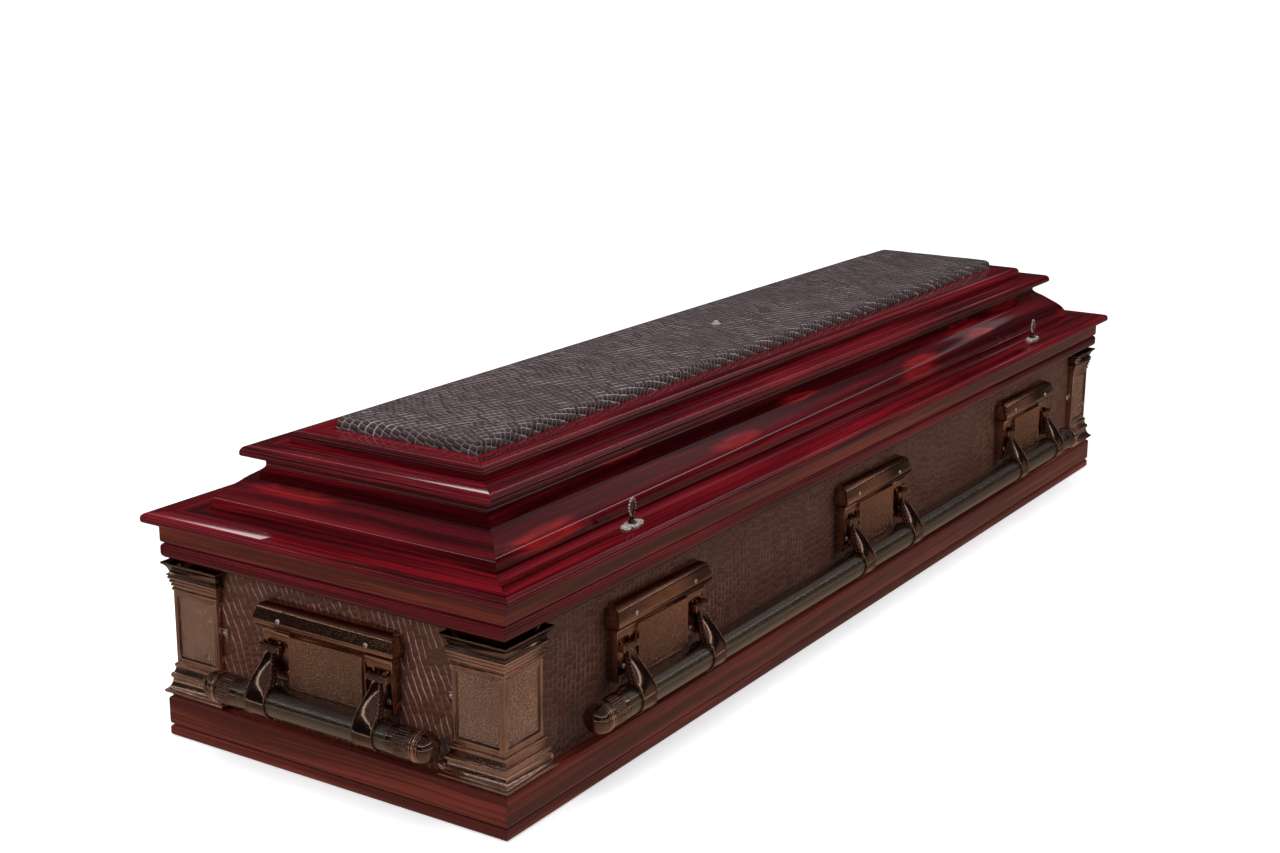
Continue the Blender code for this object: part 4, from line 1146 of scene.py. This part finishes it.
class CASKET_OT_brackets(bpy.types.Operator):
    """Eight cast handle brackets with flared hoods and raised panels"""
    bl_idname = "casket.brackets"
    bl_label = "Brackets"

    HALF, DEPTH, HEIGHT = 0.112, 0.0165, 0.0730

    def execute(self, context):
        mesh = self.casting()
        for name, matrix in bracket_places():
            add_piece(name + "_casting", placed(mesh, name + "_casting", matrix),
                      [bracket_copper(), dark_copper(), stippled()], "casket", "antique_copper",
                      name)
        return {"FINISHED"}

    def casting(self):
        """One bracket on a wall plane at y = 0 that faces -Y."""
        low = BRACKET_LOW + 0.002
        top = low + self.HEIGHT
        bm = bmesh.new()
        self.add_hood(bm, top)
        self.add_body(bm, low, top)
        self.add_centre(bm, low)
        for side in (-1, 1):
            self.add_pin(bm, side * ARM_SPACING)
        # Painted shade: faces deep in the two niches take the dark copper, standing for the shadow in
        # them.
        for face in bm.faces:
            middle = face.calc_center_median()
            if 0.066 < abs(middle.x) < 0.110 and middle.y > -0.0095 and middle.z < top - 0.001:
                face.material_index = 1
        return finish_mesh(bm, "bracket", 32, turn_out=False)

    def add_hood(self, bm, top):
        """The flared hood, its slanted top and its lip."""
        profile = [(0.0, -0.04), (0.02, 0.02)]
        profile += flow((0.06, 0.05), (0.30, 0.05), (0.94, 0.40), (0.05, 0.55), 9)
        profile += [(1.03, 0.43), (1.05, 0.47), (1.02, 0.51), (0.84, 0.66), (0.67, 0.80),
                    (0.53, 0.92),
                    (0.43, 1.0)]
        rows = [(flare, height) for flare, height in shares(profile, (0.0, top), 0.0090, HOOD_RISE)]
        half, depth = self.HALF, self.DEPTH + GAP
        levels = [(half + flare, depth + flare, height) for flare, height in rows]
        peak = top + HOOD_RISE
        levels += [(half + 0.0060, depth + 0.0010, peak + 0.0016),
                   (half - 0.0020, 0.0105, peak + 0.0050),
                   (half - 0.0045, 0.0045, peak + 0.0068), (half - 0.0060, 0.0030, peak + 0.0070)]
        bm_hood = bmesh.new()
        loft(bm_hood, [[(x, y, z) for x, y in self.hood_corners(wide, deep)] for wide, deep,
                       z in levels])
        bmesh.ops.recalc_face_normals(bm_hood, faces=bm_hood.faces)
        soften_edges(bm_hood, 60, 0.0009)
        merge_into(bm, bm_hood)

    def hood_corners(self, half, depth):
        """Four corners of the hood at one height."""
        return ((-half, -GAP), (half, -GAP), (half, -depth), (-half, -depth))

    def add_body(self, bm, low, top):
        """Back plate, side walls, cheeks and top rail round two niches, which casting() paints dark
        as shade.
        """
        front = -(self.DEPTH + GAP)
        half = self.HALF
        add_block(bm, (-half, -0.0042, low), (half, -GAP, top), 0.0006)
        for side in (-1, 1):
            spans = ((half - 0.0030, half), (0.0640, 0.0670))
            for inner, outer in spans:
                ends = sorted((side * inner, side * outer))
                add_block(bm, (ends[0], front, low), (ends[1], -0.0030, top), 0.0005)
            ends = sorted((side * 0.0655, side * (half - 0.0015)))
            rail_low = PIN_HEIGHT + 0.0085
            add_block(bm, (ends[0], front, rail_low), (ends[1], -0.0030, top), 0.0006)
            slot = sorted((side * (ARM_SPACING - 0.0055), side * (ARM_SPACING + 0.0055)))
            add_block(bm, (slot[0] - 0.0075, front - 0.0006, PIN_HEIGHT - 0.004),
                      (slot[0] - 0.0045, -0.0030, rail_low + 0.001), 0.0005)
            add_block(bm, (slot[1] + 0.0045, front - 0.0006, PIN_HEIGHT - 0.004),
                      (slot[1] + 0.0075, -0.0030, rail_low + 0.001), 0.0005)

    def add_centre(self, bm, low):
        """The raised centre panel with its bright thin border."""
        panel = bmesh.new()
        front = -(self.DEPTH + GAP)
        add_block(panel, (-0.0640, front - 0.0035, low - 0.002),
                  (0.0640, -0.0030, low + self.HEIGHT - 0.001), 0.0)
        bmesh.ops.recalc_face_normals(panel, faces=panel.faces)
        face = min(panel.faces, key=lambda f: f.calc_center_median().y)
        bmesh.ops.inset_region(panel, faces=[face], thickness=0.0016)
        bmesh.ops.inset_region(panel, faces=[face], thickness=0.0008, depth=-0.0014)
        face.material_index = 2
        soften_edges(panel, 50, 0.0005)
        merge_into(bm, panel)

    def add_pin(self, bm, middle):
        """Two lugs and the pin that an arm hangs on."""
        pin_y = -PIN_OUT
        front = -(self.DEPTH + GAP)
        for side in (-1, 1):
            ends = sorted((middle + side * 0.0148, middle + side * 0.0188))
            add_block(bm, (ends[0], pin_y - 0.0052, PIN_HEIGHT - 0.0052),
                      (ends[1], front + 0.003, PIN_HEIGHT + 0.0052), 0.0014, 3)
        bmesh.ops.create_cone(bm, cap_ends=True, segments=20, radius1=0.0030, radius2=0.0030,
                              depth=0.0350, matrix=Matrix.Translation((middle, pin_y, PIN_HEIGHT))
                              @ Matrix.Rotation(math.pi / 2, 4, "Y"))


def merge_into(bm, other):
    """Add one mesh under construction to another."""
    mesh = bpy.data.meshes.new("part")
    other.to_mesh(mesh)
    other.free()
    bm.from_mesh(mesh)
    bpy.data.meshes.remove(mesh)


def bracket_places():
    """Name and place of each bracket, from a local frame whose wall is at y = 0."""
    places = []
    for word, x in (("left", -BRACKET_X), ("middle", 0.0), ("right", BRACKET_X)):
        places.append((f"bracket_front_{word}", Matrix.Translation((x, -WALL_Y, 0))))
        places.append((f"bracket_back_{word}", Matrix.Translation((x, WALL_Y, 0))
                       @ Matrix.Rotation(math.pi, 4, "Z")))
    places.append(("bracket_left_end", Matrix.Translation((-WALL_X, 0, 0))
                   @ Matrix.Rotation(-math.pi / 2, 4, "Z")))
    places.append(("bracket_right_end", Matrix.Translation((WALL_X, 0, 0))
                   @ Matrix.Rotation(math.pi / 2, 4, "Z")))
    return places


def handle_places():
    """Body, CAD word, half length of the bar and place of each handle's pin line."""
    long_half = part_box("bar_front")[1][0]
    short_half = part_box("bar_left")[1][1]
    side, end = WALL_Y + PIN_OUT, WALL_X + PIN_OUT
    spread = (-BRACKET_X, 0.0, BRACKET_X)
    return [
        ("front_handle", "front", long_half, spread, Matrix.Translation((0, -side, PIN_HEIGHT))),
        ("back_handle", "back", long_half, spread,
         Matrix.Translation((0, side, PIN_HEIGHT)) @ Matrix.Rotation(math.pi, 4, "Z")),
        ("left_handle", "left", short_half, (0.0,),
         Matrix.Translation((-end, 0, PIN_HEIGHT)) @ Matrix.Rotation(-math.pi / 2, 4, "Z")),
        ("right_handle", "right", short_half, (0.0,),
         Matrix.Translation((end, 0, PIN_HEIGHT)) @ Matrix.Rotation(math.pi / 2, 4, "Z")),
    ]


class CASKET_OT_arms(bpy.types.Operator):
    """Sixteen swing arms with scalloped ridges and saddles round the bars"""
    bl_idname = "casket.arms"
    bl_label = "Arms"

    def execute(self, context):
        mesh = self.arm()
        for body, word, _, centres, matrix in handle_places():
            number = 0
            for centre in centres:
                for side in (-1, 1):
                    number += 1
                    node = f"arm_{word}_{number}"
                    spot = matrix @ Matrix.Translation((centre + side * ARM_SPACING, 0, 0))
                    add_piece(node + "_casting", placed(mesh, node + "_casting", spot),
                              [dark_copper(), copper()], body, "antique_copper", node)
        return {"FINISHED"}

    def arm(self):
        """An arm about its pin line: head, flaring web, beaded edges and saddle."""
        bm = bmesh.new()
        self.add_web(bm)
        self.add_saddle(bm)
        add_block(bm, (-0.0125, -0.0058, -0.0050), (0.0125, 0.0040, 0.0050), 0.0022, 3)
        bmesh.ops.create_cone(bm, cap_ends=True, segments=24, radius1=0.0051, radius2=0.0051,
                              depth=0.0290, matrix=Matrix.Rotation(math.pi / 2, 4, "Y"))
        self.add_scallops(bm)
        before = len(bm.faces)
        self.add_edges(bm)
        bmesh.ops.recalc_face_normals(bm, faces=bm.faces)
        # Painted highlight: the edge ridges take the lighter copper to stand for light catching them.
        bm.faces.ensure_lookup_table()
        for face in bm.faces[before:]:
            face.material_index = 1
        return finish_mesh(bm, "arm", 40, turn_out=False)

    def half_width(self, share):
        """Half the web's width: narrow at the head, spreading like a bell to the saddle."""
        t = min(1.0, max(0.0, (share - 0.06) / 0.60))
        return 0.0064 + 0.0106 * t * t * (3 - 2 * t)

    def front(self, share):
        """How far the outer face stands from the pin line at a share of the drop to the bar."""
        reach = BAR_REACH + BAR_RADIUS + 0.0032
        t = min(1.0, max(0.0, (share - 0.05) / 0.92))
        bulge = t * t * (3 - 2 * t)
        return 0.0056 + (reach - 0.0056) * (0.35 * t + 0.65 * bulge)

    def back(self, share):
        """The inner face, which closes on the saddle's wall beside the bar."""
        rise = abs(1 - share) * BAR_DROP
        wall = BAR_RADIUS + 0.0012
        if rise < wall:
            return BAR_REACH + math.sqrt(wall ** 2 - rise ** 2)
        return -0.0040 + (BAR_REACH + 0.0035) * (share / 0.74) ** 1.5

    def add_web(self, bm):
        """The bell-shaped body, which runs down over the front of the bar."""
        section = [(-1, 0.62), (-0.94, 0.90), (-0.6, 1.0), (0, 1.05), (0.6, 1.0), (0.94, 0.90),
                   (1, 0.62), (0.95, 0.0), (-0.95, 0.0)]
        rings = []
        for share in (0.03, 0.12, 0.22, 0.32, 0.42, 0.52, 0.62, 0.70, 0.77, 0.84, 0.92, 1.0, 1.06):
            half, back = self.half_width(share), self.back(share)
            deep = self.front(share) - back
            rings.append([(half * x, -back - deep * y, -BAR_DROP * share) for x, y in section])
        loft(bm, rings)

    def add_saddle(self, bm):
        """A sleeve with rolled rims round the bar."""
        half, inner, outer = SLEEVE_HALF, BAR_RADIUS + 0.0002, BAR_RADIUS + 0.0027
        outline = [(-half, inner), (-half, outer - 0.0005), (-half + 0.0006, outer + 0.0002),
                   (-half + 0.0022, outer + 0.0002), (-half + 0.0030, outer - 0.0007),
                   (half - 0.0030, outer - 0.0007), (half - 0.0022, outer + 0.0002),
                   (half - 0.0006, outer + 0.0002), (half, outer - 0.0005), (half, inner)]
        sleeve = bmesh.new()
        verts, edges = open_line(sleeve, [(x, 0, r) for x, r in outline])
        edges.append(sleeve.edges.new((verts[-1], verts[0])))
        bmesh.ops.spin(sleeve, geom=verts + edges, cent=(0, 0, 0), axis=(1, 0, 0), dvec=(0, 0, 0),
                       angle=TAU, steps=48, use_merge=True, use_duplicate=False)
        bmesh.ops.translate(sleeve, vec=(0, -BAR_REACH, -BAR_DROP), verts=sleeve.verts)
        merge_into(bm, sleeve)

    def add_scallops(self, bm):
        """Overlapping lobes down both flanks of the web."""
        for side in (-1, 1):
            for number in range(9):
                share = 0.14 + 0.072 * number
                deep = self.front(share) - self.back(share)
                for depth, size in ((0.40, 0.0034), (0.70, 0.0027)):
                    spot = (side * (self.half_width(share) - 0.0004),
                            -self.front(share) + deep * depth,
                            -BAR_DROP * (share + 0.02 * depth))
                    add_ball(bm, spot, (0.0012, size * 0.75, size), 12, 8)

    def add_edges(self, bm):
        """A crinkled ridge along both edges, in the lighter copper as a painted highlight."""
        for side in (-1, 1):
            for number in range(34):
                share = 0.10 + 0.0233 * number
                sway = 0.0004 * math.sin(number * 1.9)
                half, front = self.half_width(share), self.front(share)
                deep = front - self.back(share)
                x, z = side * (half - 0.0004 + sway * 0.4), -BAR_DROP * share
                add_ball(bm, (x, -front + deep * 0.14 + sway, z), (0.0009, 0.0010, 0.0019), 8, 6)


class CASKET_OT_bars(bpy.types.Operator):
    """Four brushed grip bars"""
    bl_idname = "casket.bars"
    bl_label = "Grip Bars"

    def execute(self, context):
        tint = colours()["gunmetal"]
        mat = metal_material("brushed gunmetal", tint, 0.27, 0.2, brushed=True)
        for body, word, half, _, matrix in handle_places():
            outline = [(-half, BAR_RADIUS - 0.0006), (-half + 0.0006, BAR_RADIUS)]
            steps = max(2, round(half / 0.05))
            outline += [(-half + 0.0006 + (2 * half - 0.0012) * i / steps, BAR_RADIUS)
                        for i in range(1, steps + 1)]
            outline += [(half, BAR_RADIUS - 0.0006)]
            mesh = spin_outline("bar_" + word, outline, 64)
            spot = matrix @ Matrix.Translation((0, -BAR_REACH, -BAR_DROP))
            node = "bar_" + word
            add_piece(node + "_tube", placed(mesh, node + "_tube", spot), [mat], body, "gunmetal",
                      node)
        return {"FINISHED"}


class CASKET_OT_end_caps(bpy.types.Operator):
    """Eight turned end caps with flutes, rings and domed tips"""
    bl_idname = "casket.end_caps"
    bl_label = "End Caps"

    def execute(self, context):
        flutes = context.scene.casket_sizes.flutes
        ring = BAR_RADIUS + 0.0020
        lip = BAR_RADIUS + 0.0004
        outline = [(0.0, lip - 0.0008), (0.0008, lip)]
        outline += [(0.010 + 0.0245 * i / 12, lip) for i in range(13)]
        outline += [(0.0362, lip), (0.0370, lip - 0.0010), (0.0380, lip - 0.0012)]
        for number in range(4):
            start = 0.0386 + 0.0035 * number
            reach = ring - 0.0004 * abs(number - 1.0)
            outline += [(start, reach - 0.0022), (start + 0.0007, reach - 0.0004),
                        (start + 0.0014, reach),
                        (start + 0.0021, reach - 0.0004), (start + 0.0028, reach - 0.0022)]
        dome = 0.0528
        for angle in range(0, 91, 9):
            turn = math.radians(angle)
            outline.append((dome + (0.068 - dome) * math.sin(turn),
                            (ring - 0.0016) * math.cos(turn)))

        def flute(vert):
            radius = math.hypot(vert.co.y, vert.co.z)
            if not (0.0098 < vert.co.x < 0.0348 and radius > lip - 0.0002):
                return
            fade = min(1.0, (vert.co.x - 0.0098) / 0.003, (0.0348 - vert.co.x) / 0.003)
            angle = math.atan2(vert.co.z, vert.co.y)
            cut = 0.0009 * fade * abs(math.sin(angle * flutes / 2)) ** 0.6
            share = (radius + 0.0003 * fade - 0.0009 * fade + cut) / radius
            vert.co.y *= share
            vert.co.z *= share

        mesh = spin_outline("end_cap", outline, flutes * 6, flute, 42)
        for face in mesh.polygons:
            radius = math.hypot(face.center.y, face.center.z)
            face.material_index = int(0.038 < face.center.x < 0.0526 and radius > ring - 0.0016)
        for body, word, half, _, matrix in handle_places():
            for side, letter in ((1, "a"), (-1, "b")):
                node = f"end_cap_{word}_{letter}"
                spot = matrix @ Matrix.Translation((side * (half + GAP), -BAR_REACH, -BAR_DROP))
                if side < 0:
                    spot = spot @ Matrix.Rotation(math.pi, 4, "Z")
                add_piece(node + "_casting", placed(mesh, node + "_casting", spot),
                          [dark_copper(), copper()], body, "antique_copper", node)
        return {"FINISHED"}


class CASKET_OT_thumbscrews(bpy.types.Operator):
    """Four thumbscrews on their ornamental plates"""
    bl_idname = "casket.thumbscrews"
    bl_label = "Thumbscrews"

    def execute(self, context):
        plate, screw = self.plate(), self.screw()
        for side, word in ((-1, "front"), (1, "back")):
            for end, hand in ((-1, "left"), (1, "right")):
                spot = Matrix.Translation((end * SCREW_X, side * SCREW_Y, LEDGE_TOP + GAP))
                if side > 0:
                    spot = spot @ Matrix.Rotation(math.pi, 4, "Z")
                node = f"screw_plate_{word}_{hand}"
                add_piece(node + "_casting", placed(plate, node + "_casting", spot), [silver()],
                          "casket", "silver", node)
                node = f"thumbscrew_{word}_{hand}"
                above = spot @ Matrix.Translation((0, 0, 0.0045))
                add_piece(node + "_casting", placed(screw, node + "_casting", above),
                          [dark_copper(), silver()], "casket", "antique_copper", node)
        return {"FINISHED"}

    def plate(self):
        """A scroll, a ring and a flower in one casting, flat on the ledge."""
        bm = bmesh.new()
        for x, size in ((-0.0155, 0.0078), (0.0, 0.0104), (0.0160, 0.0074)):
            bmesh.ops.create_cone(bm, cap_ends=True, segments=28, radius1=size, radius2=size * 0.86,
                                  depth=0.0022, matrix=Matrix.Translation((x, 0, 0.0011)))
        add_ring(bm, (0, 0, 0.0024), 0.0080, 0.0014, None, 32, 8)
        for number in range(10):
            angle = TAU * number / 10
            add_ball(bm, (0.0098 * math.cos(angle), 0.0098 * math.sin(angle), 0.0020),
                     (0.0018, 0.0018, 0.0014), 8, 6)
        for number in range(7):
            angle = TAU * number / 7
            add_ball(bm, (0.0160 + 0.0048 * math.cos(angle), 0.0048 * math.sin(angle), 0.0025),
                     (0.0024, 0.0024, 0.0015), 10, 6)
        add_ball(bm, (0.0160, 0, 0.0027), (0.0020, 0.0020, 0.0014), 10, 6)
        add_ring(bm, (-0.0160, 0, 0.0024), 0.0052, 0.0014, Matrix.Rotation(0.9, 4, "Z"), 22, 8,
                 TAU * 0.78)
        add_ring(bm, (-0.0150, 0.0006, 0.0026), 0.0022, 0.0010, None, 14, 8)
        add_ball(bm, (-0.0228, 0, 0.0018), (0.0020, 0.0024, 0.0012), 8, 6)
        return finish_mesh(bm, "screw_plate", 35)

    def screw(self):
        """A turned stem and a leaf-shaped thumb piece with a beaded edge."""
        bm = bmesh.new()
        for low, high, first, second in ((0.0, 0.0022, 0.0062, 0.0050),
                                         (0.0022, 0.0060, 0.0034, 0.0030),
                                         (0.0060, 0.0085, 0.0030, 0.0044),
                                         (0.0085, 0.0120, 0.0044, 0.0026)):
            bmesh.ops.create_cone(bm, cap_ends=True, segments=24, radius1=first, radius2=second,
                                  depth=high - low,
                                  matrix=Matrix.Translation((0, 0, (low + high) / 2)))
        leaf = [(0.34, 0.0), (0.62, 0.14), (0.90, 0.32), (1.0, 0.48), (0.94, 0.66), (0.66, 0.84),
                (0.30, 0.95), (0.0, 1.0)]
        right = [(0.0075 * x, 0.0, 0.0102 + 0.0240 * z) for x, z in leaf]
        spots = right + [(-x, y, z) for x, y, z in reversed(right[:-1])]
        wing = bmesh.new()
        verts, edges = open_line(wing, spots)
        edges.append(wing.edges.new((verts[-1], verts[0])))
        face = bmesh.ops.contextual_create(wing, geom=edges)["faces"]
        bmesh.ops.translate(wing, vec=(0, -0.0012, 0), verts=wing.verts)
        made = bmesh.ops.extrude_face_region(wing, geom=face)["geom"]
        bmesh.ops.translate(wing, vec=(0, 0.0024, 0),
                            verts=[item for item in made if isinstance(item, bmesh.types.BMVert)])
        bmesh.ops.recalc_face_normals(wing, faces=wing.faces)
        soften_edges(wing, 60, 0.0005)
        merge_into(bm, wing)
        before = len(bm.faces)
        for x, y, z in spots:
            add_ball(bm, (x, y, z), (0.0015, 0.0017, 0.0019), 8, 6)
        bm.faces.ensure_lookup_table()
        for face in bm.faces[before:]:
            face.material_index = 1
        return finish_mesh(bm, "thumbscrew", 35)


class CASKET_OT_screws(bpy.types.Operator):
    """Small silver screws of the brackets and pilasters"""
    bl_idname = "casket.screws"
    bl_label = "Small Screws"

    def execute(self, context):
        head = self.head()
        number = 0
        for name, matrix in bracket_places():
            for x, out, height in ((-0.076, 0.0243, 0.2170), (0.076, 0.0243, 0.2170),
                                   (-0.078, 0.0040, 0.1370), (0.096, 0.0040, 0.1370)):
                spot = matrix @ Matrix.Translation((x, -out, height))
                self.add_screw(head, number, spot)
                number += 1
        out = WALL_Y - HALF_Y + 0.0021
        set_back = LEG_REACH + SHAFT_INSET + 0.0062
        edge_x, edge_y = HALF_X - set_back, HALF_Y - set_back
        for sx in (-1, 1):
            for sy in (-1, 1):
                turn = Matrix.Rotation(0 if sy < 0 else math.pi, 4, "Z")
                spot = Matrix.Translation((sx * edge_x, sy * (HALF_Y + out), TAB_HEIGHT))
                self.add_screw(head, number, spot @ turn)
                turn = Matrix.Rotation(math.pi / 2 * sx, 4, "Z")
                spot = Matrix.Translation((sx * (HALF_X + out), sy * edge_y, TAB_HEIGHT))
                self.add_screw(head, number + 1, spot @ turn)
                number += 2
        return {"FINISHED"}

    def head(self):
        """A domed head with two dark bars as the painted shade of a cross slot, facing -Y."""
        outline = [(0.0, 0.0036), (0.0006, 0.0037), (0.0014, 0.0032), (0.0020, 0.0022),
                   (0.0023, 0.0010),
                   (0.0017, 0.0007), (0.0012, 0.0)]
        bm = bmesh.new()
        bm.from_mesh(spin_outline("screw_head", outline, 24))
        before = len(bm.faces)
        # Painted shade: two thin dark bars stand proud of the head for the shadow inside a cross
        # slot, which is not cut.
        add_block(bm, (0.0016, -0.0021, -0.0004), (0.00245, 0.0021, 0.0004))
        add_block(bm, (0.0016, -0.0004, -0.0021), (0.00245, 0.0004, 0.0021))
        bm.faces.ensure_lookup_table()
        for face in bm.faces[before:]:
            face.material_index = 1
        mesh = finish_mesh(bm, "screw_head")
        return placed(mesh, "screw_head", Matrix.Rotation(-math.pi / 2, 4, "Z"))

    def add_screw(self, head, number, spot):
        """One screw in its place."""
        name = f"screw_{number:02d}"
        add_piece(name, placed(head, name, spot), [silver(), dark_copper()], "casket", "silver")


class CASKET_PT_panel(bpy.types.Panel):
    """Pieces of the casket"""
    bl_idname = "CASKET_PT_panel"
    bl_label = "Funeral Casket"
    bl_space_type = "VIEW_3D"
    bl_region_type = "UI"
    bl_category = "Casket"

    def draw(self, context):
        column = self.layout.column()
        for name in CasketSizes.__annotations__:
            column.prop(context.scene.casket_sizes, name)
        for name in CasketColours.__annotations__:
            column.prop(context.scene.casket_colours, name)
        for step in STEPS:
            column.operator(step.bl_idname)


STEPS = (CASKET_OT_stage, CASKET_OT_case, CASKET_OT_panels, CASKET_OT_lid, CASKET_OT_pad,
         CASKET_OT_stud, CASKET_OT_pilasters, CASKET_OT_brackets, CASKET_OT_arms, CASKET_OT_bars,
         CASKET_OT_end_caps, CASKET_OT_thumbscrews, CASKET_OT_screws)
CLASSES = (CasketSizes, CasketColours) + STEPS + (CASKET_PT_panel,)


def register():
    for item in CLASSES:
        bpy.utils.register_class(item)
    bpy.types.Scene.casket_sizes = bpy.props.PointerProperty(type=CasketSizes)
    bpy.types.Scene.casket_colours = bpy.props.PointerProperty(type=CasketColours)


def unregister():
    del bpy.types.Scene.casket_colours
    del bpy.types.Scene.casket_sizes
    for item in reversed(CLASSES):
        bpy.utils.unregister_class(item)


def main():
    register()
    bpy.context.scene.view_settings.view_transform = "Standard"
    bpy.ops.casket.stage()
    bpy.ops.casket.case()
    bpy.ops.casket.panels()
    bpy.ops.casket.lid()
    bpy.ops.casket.pad()
    bpy.ops.casket.stud()
    bpy.ops.casket.pilasters()
    bpy.ops.casket.brackets()
    bpy.ops.casket.arms()
    bpy.ops.casket.bars()
    bpy.ops.casket.end_caps()
    bpy.ops.casket.thumbscrews()
    bpy.ops.casket.screws()
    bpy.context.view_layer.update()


if __name__ == "__main__":
    main()
